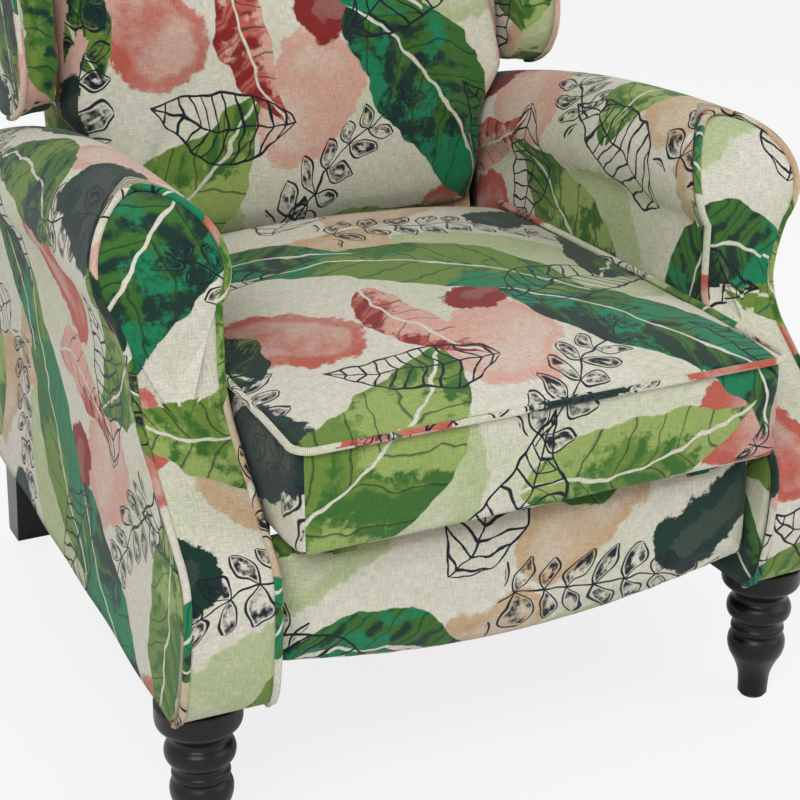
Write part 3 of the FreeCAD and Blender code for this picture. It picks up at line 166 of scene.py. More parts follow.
def colour_of(value):
    """A colour as a socket takes it, with its alpha, or the wire that carries one."""
    return (*value, 1.0) if isinstance(value, tuple) else value


def finish(name, build):
    """A material whose surface build(start) describes as the Principled shader's sockets."""
    material = bpy.data.materials.new(name)
    material.use_nodes = True
    tree = material.node_tree
    tree.nodes.clear()
    surface = Wire(tree).node("BsdfPrincipled", inputs=build(Wire(tree)))
    out = tree.nodes.new("ShaderNodeOutputMaterial")
    tree.links.new(surface.socket, out.inputs["Surface"])
    return material


def black_lacquer(start):
    """Black satin lacquer over open grain: fine long pores and a slightly uneven shine."""
    place = start.node("TexCoord", output=3)
    grain_place = start.node("Mapping", inputs={0: place, 3: (1.0, 1.0, 0.05)})
    pores = start.noise(grain_place, 900.0, 3.0)
    cloud = start.noise(place, 35.0, 2.0)
    return {
        "Base Color": cloud.rise(0.3, 0.7).blend((0.0035, 0.0035, 0.004), (0.007, 0.0065, 0.0065)),
        "Roughness": cloud * 0.12 + 0.30,
        "Specular IOR Level": 0.22,
        "Coat Weight": 0.10,
        "Coat Roughness": 0.16,
        "Normal": pores.bump(0.25, 0.0002),
    }


lacquered_beech = finish("lacquered_beech", black_lacquer)


def sheet_mesh(name, points, cloth=None):
    """A piece from a grid of points in rows and columns, with the cloth's own two lengths as its UV
    map. Rows or columns that meet are welded, so a grid whose ends run together is closed."""
    rows, columns = points.shape[:2]
    mesh = bpy.data.meshes.new(name)
    index = np.arange(rows * columns).reshape(rows, columns)
    faces = np.stack([index[:-1, :-1], index[:-1, 1:], index[1:, 1:], index[1:, :-1]], axis=-1)
    faces = faces.reshape(-1, 4)
    mesh.from_pydata((points.reshape(-1, 3) * 0.001).tolist(), [], faces.tolist())
    if cloth is not None:
        layer = mesh.uv_layers.new(name="cloth")
        corners = np.zeros(len(mesh.loops), dtype=np.int32)
        mesh.loops.foreach_get("vertex_index", corners)
        layer.data.foreach_set("uv", (cloth.reshape(-1, 2)[corners] * 0.001).ravel())
    shell = bmesh.new()
    shell.from_mesh(mesh)
    bmesh.ops.remove_doubles(shell, verts=shell.verts, dist=2e-5)
    bmesh.ops.recalc_face_normals(shell, faces=shell.faces)
    shell.to_mesh(mesh)
    shell.free()
    mesh.shade_smooth()
    piece = bpy.data.objects.new(name, mesh)
    bpy.context.scene.collection.objects.link(piece)
    return piece


def dress(piece, material, slot, body, *nodes):
    """Gives a piece its material and its body, and hides the imported nodes it stands for. The slot
    is not used.
    """
    piece.data.materials.clear()
    piece.data.materials.append(material)
    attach(piece, body)
    if nodes:
        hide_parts(*nodes)
    return piece


def cubic(start, end, leave, arrive, t):
    """The cubic from start to end as t goes from 0 to 1, with the slopes it has at both ends."""
    rise = t * t * (3.0 - 2.0 * t)
    return start + (end - start) * rise + leave * t * (1.0 - t) ** 2 - arrive * t * t * (1.0 - t)


def curve_through(knots, count):
    """Points along a smooth curve through some knots: a cubic piece between each two, with the
    slope at a knot taken from its neighbours."""
    knots = np.asarray(knots, dtype=float)
    slopes = np.gradient(knots, axis=0)
    place = np.linspace(0.0, len(knots) - 1.0, count)
    left = np.minimum(place.astype(int), len(knots) - 2)
    t = (place - left)[:, None]
    return cubic(knots[left], knots[left + 1], slopes[left], slopes[left + 1], t)


sides = (("left", -1.0), ("right", 1.0))
leg_x, leg_y = 312.0, -322.0
turning = [
    [(0.0, 3.0), (14.2, 3.0), (15.5, 4.2)],
    [(15.5, 4.2), (15.9, 14.0), (16.8, 25.0), (19.6, 35.0), (24.0, 45.0)],
    [(24.0, 45.0), (28.2, 53.0), (30.2, 62.0), (29.3, 70.0), (25.4, 76.2)],
    [(25.4, 76.2), (26.3, 77.6), (27.9, 80.6), (27.4, 84.0), (26.2, 85.6)],
    [(26.2, 85.6), (25.6, 88.0), (26.0, 91.6), (27.6, 93.6)],
    [(27.6, 93.6), (32.2, 98.0), (33.8, 105.0), (32.2, 111.6), (27.4, 116.4)],
    [(27.4, 116.4), (26.6, 119.0), (27.2, 122.4), (30.4, 126.8), (35.4, 130.6)],
    [(35.4, 130.6), (39.6, 134.6), (41.2, 141.0), (41.0, 158.0)],
    [(41.0, 158.0), (0.0, 158.0)],
]
profile = np.concatenate([curve_through(run, 14 if len(run) > 3 else 6) for run in turning])
radius, height = profile[:, :1], profile[:, 1:]
angle = np.linspace(0.0, 2.0 * math.pi, 65)
for side, sign in sides:
    across, along = sign * leg_x + radius * np.cos(angle), leg_y + radius * np.sin(angle)
    leg = sheet_mesh(f"turned_leg_{side}", np.stack([across, along, height + 0.0 * angle], axis=-1))
    dress(leg, lacquered_beech, "black_wood", "base", f"leg_front_{side}")


def carried(material, *names):
    """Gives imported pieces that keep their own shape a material."""
    for name in names:
        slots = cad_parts[name].data.materials
        slots.clear()
        slots.append(material)


carried(lacquered_beech, "leg_rear_left", "leg_rear_right")

# The cover: a heavy linen-look twill, printed with loose watercolour leaves over washed patches
# of sage, blush and coral, with sprigs and veins drawn over them in navy ink.

cream, sage, tan = (0.82, 0.79, 0.67), (0.54, 0.62, 0.34), (0.68, 0.48, 0.29)
blush, coral, brick = (0.80, 0.46, 0.37), (0.60, 0.135, 0.095), (0.28, 0.022, 0.022)
lime, olive, leaf_green = (0.36, 0.48, 0.14), (0.17, 0.29, 0.050), (0.050, 0.17, 0.026)
emerald, bottle, ink = (0.010, 0.24, 0.105), (0.006, 0.036, 0.024), (0.007, 0.012, 0.024)
print_repeat = 0.64

# Each shape's place on the cloth in metres and its turn in degrees come first. A wash has its half
# lengths, its tint and how solid it is; a leaf its length, half width, bend and three tints; a
# sprig has the number of its leaflets before the bend.

washes = [
    (0.10, 0.12, 24, 0.140, 0.080, sage, 0.60),
    (0.43, 0.48, -32, 0.150, 0.080, sage, 0.60),
    (0.30, 0.30, 60, 0.080, 0.055, blush, 0.50),
    (0.52, 0.14, -15, 0.080, 0.050, coral, 0.50),
    (0.12, 0.40, -50, 0.085, 0.050, coral, 0.50),
    (0.36, 0.06, 38, 0.090, 0.045, tan, 0.55),
    (0.60, 0.36, 80, 0.080, 0.048, blush, 0.50),
    (0.24, 0.58, 12, 0.085, 0.042, tan, 0.55),
    (0.34, 0.40, 20, 0.055, 0.032, brick, 0.85),
    (0.02, 0.28, -70, 0.085, 0.042, bottle, 0.95),
    (0.50, 0.02, 32, 0.070, 0.034, bottle, 0.95),
]
painted = [
    (0.13, 0.18, 38, 0.360, 0.074, 0.036, leaf_green, olive, lime),
    (0.47, 0.28, -56, 0.330, 0.066, -0.032, bottle, leaf_green, emerald),
    (0.31, 0.50, 150, 0.350, 0.066, 0.036, leaf_green, emerald, olive),
    (0.57, 0.56, 66, 0.300, 0.058, 0.028, bottle, bottle, leaf_green),
    (0.03, 0.47, 98, 0.270, 0.052, -0.030, bottle, leaf_green, olive),
    (0.39, 0.12, 10, 0.250, 0.050, 0.022, leaf_green, olive, lime),
    (0.23, 0.36, -74, 0.190, 0.032, 0.022, brick, coral, blush),
    (0.16, 0.60, -16, 0.230, 0.044, -0.020, bottle, leaf_green, emerald),
]
drawn = [
    (0.27, 0.10, 64, 0.190, 0.042, 0.016),
    (0.44, 0.42, 20, 0.200, 0.044, -0.018),
    (0.10, 0.58, -28, 0.180, 0.040, 0.016),
    (0.55, 0.23, 118, 0.170, 0.038, 0.014),
    (0.20, 0.28, 168, 0.160, 0.036, -0.014),
]
sprigs = [
    (0.05, 0.32, 76, 0.260, 0.042, 8.0, 0.016),
    (0.39, 0.62, -8, 0.250, 0.040, 8.0, -0.014),
    (0.61, 0.06, 140, 0.230, 0.038, 7.0, 0.012),
    (0.35, 0.24, 42, 0.210, 0.034, 7.0, -0.012),
]


def printed_twill(start):
    """The print and the weave. Each shape is worked out in its own turned frame, on cloth that
    repeats, and is laid over what is under it."""
    flat = start.node("UVMap", {"uv_map": "cloth"})
    soft = start.noise(flat, 9.0, 4.0, "2D")
    rough = start.noise(flat, 70.0, 5.0, "2D", Roughness=0.65)
    wander = start.noise(flat, 16.0, 2.0, "2D", 1)

    def vector(operation, *values):
        return start.node("VectorMath", {"operation": operation}, dict(enumerate(values)))

    drift = vector("MULTIPLY", vector("SUBTRACT", wander, (0.5,) * 3), (0.030,) * 3)
    loose = vector("ADD", flat, drift)
    fray = (rough - 0.5) * 0.010
    half = print_repeat / 2.0

    def placed(x, y, degrees):
        """Lengths along and across a shape, in the nearest repeat of its place."""
        near = vector("WRAP", vector("SUBTRACT", loose, (x, y, 0.0)), (half,) * 3, (-half,) * 3)
        turn = {"Vector": near, "Angle": -math.radians(degrees)}
        turned = start.node("VectorRotate", {"rotation_type": "Z_AXIS"}, turn)
        split = start.node("SeparateXYZ", inputs={0: turned})
        return split, split.beside(1)

    def midrib(along, across, length, bend):
        """The share of a leaf's length, and the distance from its midrib, which bends as the
        square of the distance from its middle."""
        share = start.node("Clamp", inputs={0: along / length + 0.5})
        return share, across - (share - 0.5) ** 2.0 * (4.0 * bend)

    def blade(along, across, length, width, bend):
        """A leaf: the share of its length, the distance from its bent midrib, and how far inside
        its edge a point is. The width goes as the sine of half a turn along it, and past its ends
        the edge falls away with the distance."""
        share, middle = midrib(along, across, length, bend)
        swell = start.math("SINE", share**0.75 * math.pi) * width
        beyond = start.math("MAXIMUM", abs(along) - length / 2.0, 0.0)
        return share, middle, swell - abs(middle) - beyond

    stain = (soft + rough * 0.22).rise(0.48, 0.78)
    colour = (soft.rise(0.45, 0.75) * 0.8).blend(cream, (0.70, 0.73, 0.52))
    for x, y, degrees, long, wide, tint, body in washes:
        along, across = placed(x, y, degrees)
        past = start.math("MAXIMUM", abs(along) - (long - wide), 0.0)
        inside = wide - (past * past + across * across) ** 0.5 + fray * 2.0
        rim = (0.012 - abs(inside - 0.010)).rise(0.0, 0.010) * 0.35
        dab = inside.rise(0.0, 0.004) * (stain * (1.0 - body) + body + rim)
        colour = start.node("Clamp", inputs={0: dab}).blend(colour, tint)
    for x, y, degrees, length, width, bend, dark, middling, light in painted:
        along, across = placed(x, y, degrees)
        share, middle, edge = blade(along, across, length, width, bend)
        stroke = start.math("FRACT", share * 7.0 - abs(middle) * 22.0 + soft * 0.9)
        depth = abs(stroke - 0.5) * 1.2 + (rough - 0.5) * 0.8 + middle * 6.0
        body = depth.rise(0.14, 0.44).blend(dark, middling)
        body = (stain + (rough - 0.5) * 0.6).rise(0.30, 0.72).blend(body, light)
        body = (stroke.rise(0.90, 0.97) * 0.75).blend(body, bottle)
        body = (0.0022 + fray * 0.15 - abs(middle)).rise(0.0, 0.0010).blend(body, cream)
        colour = (edge + fray * 0.5).rise(-0.0006, 0.0009).blend(colour, body)
    for x, y, degrees, length, width, bend in drawn:
        along, across = placed(x, y, degrees)
        share, middle, edge = blade(along, across, length, width, bend)
        stroke = (0.0014 + fray * 0.22) - start.math("MINIMUM", abs(edge), abs(middle) * 1.3)
        vein = start.math("FRACT", share * 11.0 - abs(middle) * 30.0)
        vein = (0.085 + fray * 14.0) - abs(vein - 0.5)
        veins = vein.rise(-0.02, 0.02) * edge.rise(0.0, 0.001)
        lines = start.math("MAXIMUM", stroke.rise(-0.0004, 0.0002), veins)
        colour = (lines * edge.rise(-0.0016, -0.0012)).blend(colour, ink)
    for x, y, degrees, length, width, leaves, bend in sprigs:
        along, across = placed(x, y, degrees)
        share, middle = midrib(along, across, length, bend)
        reach = width * 1.15 - share * (width * 0.55)
        out = abs(middle) / reach
        slot = start.math("FRACT", share * leaves - out * 0.55)
        half_leaf = start.math("SINE", start.node("Clamp", inputs={0: out}) * math.pi) * 0.36
        gap = half_leaf - abs(slot - 0.5)
        outline = (0.055 - abs(gap)).rise(0.0, 0.03)
        shade = (0.13 + fray * 12.0 - abs(gap - 0.2)).rise(0.0, 0.06)
        shade = shade * (rough - 0.35).rise(0.0, 0.25)
        leaflet = start.math("MAXIMUM", outline, shade) * (0.985 - out).rise(0.0, 0.02)
        stem = (0.0009 - abs(middle)).rise(-0.0003, 0.0002)
        ends = (0.5 - abs(share - 0.5)).rise(0.0005, 0.004)
        colour = (start.math("MAXIMUM", leaflet, stem) * ends).blend(colour, ink)

    u = start.node("SeparateXYZ", inputs={0: flat})
    v = u.beside(1)
    pitch = 2.0 * math.pi / 0.0019
    twill = start.math("SINE", (u + v) * pitch)
    weft = start.math("SINE", (u - v * 0.35) * (pitch * 1.9))
    slubs = []
    for stretch in ((90.0, 900.0, 1.0), (900.0, 90.0, 1.0)):
        drawn_out = start.node("Mapping", inputs={0: flat, 3: stretch})
        slubs.append(start.noise(drawn_out, 1.0, 1.0, "2D"))
    thread = twill * 0.34 + weft * 0.12 + (slubs[0] + slubs[1]) * 0.9 - 0.4
    # The colour is darker where the threads lie low, which is painted shade in the weave's hollows.
    # It is also lighter or darker along the slubbed threads, which is their own tone.
    thread_tone_and_hollow_shade = thread.rise(-0.2, 1.2).blend((0.62, 0.62, 0.62), (1.16, 1.16, 1.16))
    times = {"data_type": "RGBA", "blend_type": "MULTIPLY"}
    woven = start.node("Mix", times, {0: 1.0, 6: colour, 7: thread_tone_and_hollow_shade}, 2)
    return {
        "Base Color": woven,
        "Roughness": 0.86,
        "Sheen Weight": 0.12,
        "Sheen Roughness": 0.5,
        "Specular IOR Level": 0.25,
        "Normal": thread.bump(0.55, 0.0005),
    }


printed_linen = finish("printed_linen", printed_twill)

# The arms: a plywood box frame, padded, with the cover pulled over a big soft roll and down to the
# foot on both sides. Both arms stand a little toed in, so they close towards the rear.

arm_toe = math.radians(1.7)
front_low, waist_x, foot_x, inner_x, roll_x = 161.0, 345.0, 353.0, 258.0, 310.0
arm_front, arm_rear, arm_middle = -410.0, 377.0, np.array([303.0, 400.0])
front_roll = (547.0, 63.0)


def roll_at(depth):
    """Height and radius of the roll at a depth: cubic curves through the three frame stations."""
    stations = (arm_front, 20.0, arm_rear)
    left = np.where(depth > stations[1], 1, 0)
    start = np.take(stations, left)
    span = np.take(stations, left + 1) - start

    def between(values, slopes):
        ends = (np.take(values, left), np.take(values, left + 1))
        slopes = (span * np.take(slopes, left), span * np.take(slopes, left + 1))
        return cubic(*ends, *slopes, (depth - start) / span)

    high = between((front_roll[0], 537.0, 462.0), (0.0, -0.105, -0.30))
    return high, between((front_roll[1], 61.0, 54.0), (0.0, -0.010, -0.026))


def arc(start, end, radius, count=12):
    """Points on the arc, less than half a circle, that has its centre left of the way from start to
    end where the radius is positive, and right of it where it is negative."""
    start, end = np.asarray(start, float), np.asarray(end, float)
    chord = end - start
    length = math.hypot(*chord)
    across = np.array([-chord[1], chord[0]]) / length
    height = math.copysign(math.sqrt(radius**2 - length**2 / 4.0), radius)
    centre = (start + end) / 2.0 + across * height
    first, last = (math.atan2(*(point - centre)[::-1]) for point in (start, end))
    turn = (last - first + math.pi) % (2.0 * math.pi) - math.pi
    angles = first + turn * np.linspace(0.0, 1.0, count)
    return centre + abs(radius) * np.stack([np.cos(angles), np.sin(angles)], axis=-1)


nose = np.concatenate(
    [
        arc((-362, 161), (-386, 191), -44),
        arc((-386, 191), (-398, 285), -420),
        arc((-398, 285), (-378, 326), -46),
        arc((-290, 402), (-264, 453), 77),
        arc((-264, 520), (-174, 610), -90),
    ]
)


def nose_at(height):
    """How far forward the arm's curved front is at a height."""
    return np.interp(height, nose[:, 1], nose[:, 0])


def arm_outline(roll_height, roll_radius, inset, bottom=True):
    """The arm from the front, inner foot first: up the inner face, over the roll, in under it and
    down the outer side. Each stretch has its own share of the points, so sections match."""
    high = np.asarray(roll_height, float)[..., None]
    reach = np.asarray(roll_radius, float)[..., None] - inset
    turn_in, turn_out = math.radians(34.5), math.radians(41.0)
    inside = (roll_x - reach * math.cos(turn_in), high - reach * math.sin(turn_in))
    neck = (roll_x + reach * math.cos(turn_out), high - reach * math.sin(turn_out))
    inner, waist, neck_low = inner_x + inset, waist_x - inset, high - 105.0
    across, up = neck[0] - waist, neck[1] - neck_low
    flare = (across**2 + up**2) / (2.0 * across)

    def straight(start, end, count):
        t = np.linspace(0.0, 1.0, count)[1:]
        return start[0] + (end[0] - start[0]) * t, start[1] + (end[1] - start[1]) * t

    zero = 0.0 * high
    over = np.linspace(math.pi + turn_in, -turn_out, 49)[1:]
    under = np.arcsin(up / flare) * np.linspace(1.0, 0.0, 13)[1:]
    heel, toe = (inner + zero, front_low + zero), (foot_x - inset + zero, front_low + zero)
    knee = (waist + zero, 323.0 + zero)
    runs = [
        heel,
        straight(heel, inside, 31),
        (roll_x + reach * np.cos(over), high + reach * np.sin(over)),
        (waist + flare - flare * np.cos(under), neck_low + flare * np.sin(under)),
        straight((waist + zero, neck_low), knee, 13),
        straight(knee, toe, 15),
    ]
    if bottom:
        runs.append(straight(toe, heel, 9))
    return np.stack([np.concatenate(run, axis=-1) for run in zip(*runs)], axis=-1)


def toed(points, sign):
    """Turns a right-hand arm piece about the arm's front, and mirrors it for the left."""
    x, y = points[..., 0] - roll_x, points[..., 1] - arm_front
    cos, sin = math.cos(arm_toe), math.sin(arm_toe)
    across, back = sign * (roll_x + x * cos - y * sin), x * sin + y * cos + arm_front
    return np.stack([across, back, points[..., 2]], axis=-1)


def lengths(points):
    """Distance along a run of points."""
    return np.concatenate([[0.0], np.cumsum(np.linalg.norm(np.diff(points, axis=0), axis=-1))])


def arm_cover(sign):
    """Sections of the arm carried from the curved front to the rear, then drawn in at both ends.
    Each point takes the roll's height and radius at its own depth. The outer side has low waves, a
    product of two slow sines, where the cloth is pulled over the padding."""
    share = np.linspace(0.0, 1.0, 64)[:, None]
    outline = arm_outline(*front_roll, 0.0)
    behind_panel = 3.0
    depth = (nose_at(outline[:, 1]) + behind_panel)[None] * (1.0 - share) + arm_rear * share
    rings = np.stack(
        [
            np.diagonal(arm_outline(high, radius, 0.0), axis1=0, axis2=1).T
            for high, radius in zip(*roll_at(depth))
        ]
    )
    x, z = rings[..., 0], rings[..., 1]
    pull = np.sin(depth * 0.031 + z * 0.012 + 1.3) * np.sin(z * 0.021 + depth * 0.008) * 1.1
    points = np.stack([x + pull * np.clip((x - 300.0) / 45.0, 0.0, 1.0), depth, z], axis=-1)
    cloth = np.stack([lengths(outline)[None] + 0.0 * depth, depth], axis=-1)
    front = []
    for size in np.linspace(0.0, 0.985, 24):
        flat = arm_middle + (outline - arm_middle) * size
        sunk = behind_panel + 3.0 + min(6.0, 400.0 * (0.995 - size))
        front.append(np.stack([flat[:, 0], nose_at(flat[:, 1]) + sunk, flat[:, 1]], axis=-1))
    rear, rear_middle, round_off = [], np.array([303.0, 0.0, 340.0]), 9.0
    for size, step in ((0.985, 5.0), (0.95, 8.0), (0.6, 9.0), (0.0, 9.0)):
        flat = rear_middle + (points[-1] - rear_middle) * size
        flat[:, 1] = arm_rear + step - round_off
        rear.append(flat)
    points[-1, :, 1] -= round_off
    ends = [np.stack([row[:, 0] - inner_x, row[:, 2]], axis=-1) for row in front]
    tails = [np.stack([row[:, 0] * -1.0, row[:, 2]], axis=-1) for row in rear]
    return toed(np.concatenate([front, points, rear]), sign), np.concatenate([ends, cloth, tails])


def arm_panel(sign):
    """The arm's front panel: the outline drawn in to its middle, on the curved front, and fuller
    towards the middle, as one less the sixth power of the share of the way out."""
    full, thick = 2.2, 8.0
    outline = arm_outline(*front_roll, 6.5)
    share = np.linspace(0.0, 1.0, 30)[:, None]
    flat = arm_middle + (outline - arm_middle) * share[..., None]
    depth = nose_at(flat[..., 1]) - full * (1.0 - share**6)
    front = np.stack([flat[..., 0], depth, flat[..., 1]], axis=-1)
    edge, shut = front[-1:] + np.array([0.0, thick, 0.0]), front[:1].copy()
    shut[..., 1] = nose_at(shut[..., 2]) + thick
    points = np.concatenate([front, edge, shut])
    up = np.interp(points[..., 2], nose[:, 1], lengths(nose))
    return toed(points, sign), np.stack([points[..., 0], up], axis=-1)


def cord_along(path, facing, radius, sides=14):
    """A round cord: circles square to the path, with one side turned to a given direction, and
    closed at both ends."""
    ahead = np.gradient(path, axis=0)
    ahead /= np.linalg.norm(ahead, axis=-1, keepdims=True)
    side = np.cross(ahead, facing)
    side /= np.linalg.norm(side, axis=-1, keepdims=True)
    up = np.cross(side, ahead)
    turn = np.linspace(0.0, 2.0 * math.pi, sides + 1)[None, :, None]
    rings = path[:, None] + radius * (np.cos(turn) * side[:, None] + np.sin(turn) * up[:, None])
    shut = [path[:1, None] + 0.0 * rings[:1], path[-1:, None] + 0.0 * rings[-1:]]
    rings = np.concatenate([shut[0], rings, shut[1]])
    run = lengths(path)
    run = np.concatenate([[run[0]], run, [run[-1]]])[:, None]
    around = turn[..., 0] * radius
    return rings, np.stack([run * 0.70 + around, run * 0.71 - around], axis=-1)


def arm_welt(sign):
    """The cord round the panel, from the outer foot over the roll to the inner foot."""
    outline = arm_outline(*front_roll, 3.3, bottom=False)
    path = np.stack([outline[:, 0], nose_at(outline[:, 1]) - 0.2, outline[:, 1]], axis=-1)
    rings, cloth = cord_along(path, np.array([0.0, -1.0, 0.0]), 3.6)
    return toed(rings, sign), cloth


arm_cloth = {"left": (130.0, 470.0), "right": (505.0, 210.0)}
for side, sign in sides:
    for label, (points, cloth), slot, node in (
        ("arm_cover", arm_cover(sign), "printed_linen", "arm_upholstery"),
        ("arm_panel", arm_panel(sign), "printed_linen", "arm_front_panel"),
        ("arm_piping", arm_welt(sign), "welt_cord", "arm_welt"),
    ):
        piece = sheet_mesh(f"{label}_{side}", points, cloth + np.array(arm_cloth[side]))
        dress(piece, printed_linen, slot, "base", f"{node}_{side}")

# The seat: foam and wadding on springs, in a boxed cover that is crowned on top and drawn tight at
# its corded edge, so the top and the front band each swell a little between their seams.


def ring_solid(name, rings):
    """A closed form from a stack of rings that each go once round, shut to a point at both ends."""
    ends = [np.broadcast_to(ring.mean(axis=0), ring.shape)[None] for ring in (rings[0], rings[-1])]
    return sheet_mesh(name, np.concatenate([ends[0], rings, ends[1]]))


def places(mesh):
    """The places of a mesh's vertices, in metres."""
    flat = np.zeros(len(mesh.vertices) * 3)
    mesh.vertices.foreach_get("co", flat)
    return flat.reshape(-1, 3)


def modified(piece):
    """The mesh that a piece's modifiers give."""
    graph = bpy.context.evaluated_depsgraph_get()
    return bpy.data.meshes.new_from_object(piece.evaluated_get(graph))


def settle(piece):
    """Makes what its modifiers give the piece's own mesh."""
    piece.data = modified(piece)
    piece.modifiers.clear()


def swell(piece, voxel, pressure, cap, held, ironed=4):
    """Fills a cover with air: an even net of small faces, a cloth simulation under pressure whose
    held points stay put, no point moved further than the cap, and the net made finer once."""
    remesh = piece.modifiers.new("net", "REMESH")
    remesh.mode, remesh.voxel_size = "VOXEL", voxel * 0.001
    settle(piece)
    start = places(piece.data)
    group = piece.vertex_groups.new(name="held")
    group.add(np.nonzero(held(start * 1000.0))[0].tolist(), 1.0, "REPLACE")
    cloth = piece.modifiers.new("cover", "CLOTH")
    cloth.settings.use_pressure = True
    cloth.settings.uniform_pressure_force = pressure
    cloth.settings.vertex_group_mass = "held"
    cloth.settings.effector_weights.gravity = 0.0
    cloth.point_cache.frame_start, cloth.point_cache.frame_end = 1, 20
    for moment in range(1, 21):
        bpy.context.scene.frame_set(moment)
    moved = places(modified(piece)) - start
    far = np.linalg.norm(moved, axis=-1, keepdims=True)
    ended = start + moved * np.minimum(1.0, cap * 0.001 / np.maximum(far, 1e-9))
    piece.modifiers.clear()
    piece.data.vertices.foreach_set("co", ended.ravel())
    bpy.context.scene.frame_set(1)
    piece.vertex_groups.clear()
    iron = piece.modifiers.new("ironed", "SMOOTH")
    iron.iterations, iron.factor = ironed, 0.5
    finer = piece.modifiers.new("finer", "SUBSURF")
    finer.levels = finer.render_levels = 1
    settle(piece)
    piece.data.shade_smooth()


def lay_cloth(piece, panels, offset):
    """Cuts the cover into flat panels. A panel is the way it faces, its two directions and its
    start on the cloth, and each face of the piece takes the panel it faces most."""
    mesh = piece.data
    normal = np.zeros(len(mesh.polygons) * 3)
    mesh.polygons.foreach_get("normal", normal)
    total = np.zeros(len(mesh.polygons), dtype=np.int32)
    mesh.polygons.foreach_get("loop_total", total)
    corners = np.zeros(len(mesh.loops), dtype=np.int32)
    mesh.loops.foreach_get("vertex_index", corners)
    point = places(mesh)[corners] * 1000.0
    facing, across, along, start = (np.array(part, dtype=float) for part in zip(*panels))
    facing /= np.linalg.norm(facing, axis=-1, keepdims=True)
    choice = np.repeat(np.argmax(normal.reshape(-1, 3) @ facing.T, axis=-1), total)
    uv = np.stack([(point * way[choice]).sum(axis=-1) for way in (across, along)], axis=-1)
    layer = mesh.uv_layers.new(name="cloth")
    layer.data.foreach_set("uv", ((uv + start[choice] + np.array(offset)) * 0.001).ravel())


def super_ring(half, low, edge, crown, depth, count=28):
    """A boxed section from the front: flat below, upright sides and a crowned top, whose height
    goes as one less the share of the way out to the power of 2.4."""
    t = np.linspace(-1.0, 1.0, count)
    bottom = np.stack([half * t, low + 0.0 * t], axis=-1)
    side = np.stack([half + 0.0 * t, low + (edge - low) * (t + 1.0) / 2.0], axis=-1)
    top = np.stack([-half * t, edge + (crown - edge) * (1.0 - np.abs(t) ** 2.4)], axis=-1)
    other = np.stack([-half + 0.0 * t, edge + (low - edge) * (t + 1.0) / 2.0], axis=-1)
    ring = np.concatenate([bottom, side[1:], top[1:], other[1:]])
    return np.stack([ring[:, 0], depth + 0.0 * ring[:, 0], ring[:, 1]], axis=-1)


seat_front, seat_rear, seat_low, seat_seam, seat_inset = -422.0, 127.0, 325.0, 430.0, 3.0
main_cloth = (300.0, 620.0)
seat_depths = np.array([0.0, 0.03, 0.09, 0.18, 0.30, 0.46, 0.62, 0.78, 0.90, 0.97, 1.0])
knots = [0, 0.09, 0.3, 0.62, 0.9, 1]
seat_halves = np.interp(seat_depths, knots, [248, 252, 249, 245, 239, 238]) - seat_inset
seat_edges = np.interp(seat_depths, knots, [428, 431, 433, 433, 431, 428])
seat_crowns = np.interp(seat_depths, [0, 0.03, *knots[1:]], [431, 440, 449, 464, 468, 462, 446])
seat_long = seat_rear - seat_front - 2.0 * seat_inset
seat_places = seat_front + seat_inset + seat_depths * seat_long
rings = [
    super_ring(half, seat_low + seat_inset, edge, crown, depth)
    for half, edge, crown, depth in zip(seat_halves, seat_edges, seat_crowns, seat_places)
]
seat = ring_solid("seat_cover", np.stack(rings))


def seat_held(point):
    """The seam under the cord, the rear edge and the underside don't move."""
    x, y, z = point.T
    back = np.clip((y - seat_front) / (seat_rear - seat_front), 0.0, 1.0)
    rim = (np.abs(x) > 242.0 - back * 14.0) | (y < seat_front + 10.0)
    return (z < seat_low + 14.0) | ((np.abs(z - seat_seam) < 6.0) & rim) | (y > seat_rear - 9.0)


swell(seat, 6.0, 4.0, 14.0, seat_held)
lay_cloth(
    seat,
    [
        ((0, 0, 1), (1, 0, 0), (0, 1, 0), (0, 0)),
        ((0, -1, 0), (1, 0, 0), (0, 0, 1), (0, seat_front - seat_seam)),
        ((0, 1, 0), (1, 0, 0), (0, 0, -1), (0, seat_rear + seat_seam)),
        ((1, 0, 0), (0, 0, -1), (0, 1, 0), (250 + seat_seam, 0)),
        ((-1, 0, 0), (0, 0, 1), (0, 1, 0), (-250 - seat_seam, 0)),
        ((0, 0, -1), (-1, 0, 0), (0, 1, 0), (0, 300)),
    ],
    main_cloth,
)


def hollow(piece, lowest, highest):
    """Cuts a box out of a piece, as room for the frame and springs inside it."""
    block = bmesh.new()
    bmesh.ops.create_cube(block, size=1.0)
    low, high = np.array(lowest) * 0.001, np.array(highest) * 0.001
    for corner in block.verts:
        corner.co = (np.array(corner.co) + 0.5) * (high - low) + low
    mesh = bpy.data.meshes.new("cutter")
    block.to_mesh(mesh)
    block.free()
    cutter = bpy.data.objects.new("cutter", mesh)
    bpy.context.scene.collection.objects.link(cutter)
    cut = piece.modifiers.new("hollow", "BOOLEAN")
    cut.operation, cut.object, cut.solver = "DIFFERENCE", cutter, "EXACT"
    settle(piece)
    bpy.data.objects.remove(cutter)


hollow(seat, (-225.6, -400.6, 280.0), (225.6, 117.6, 400.0))
dress(seat, printed_linen, "printed_linen", "seat", "seat_cushion")

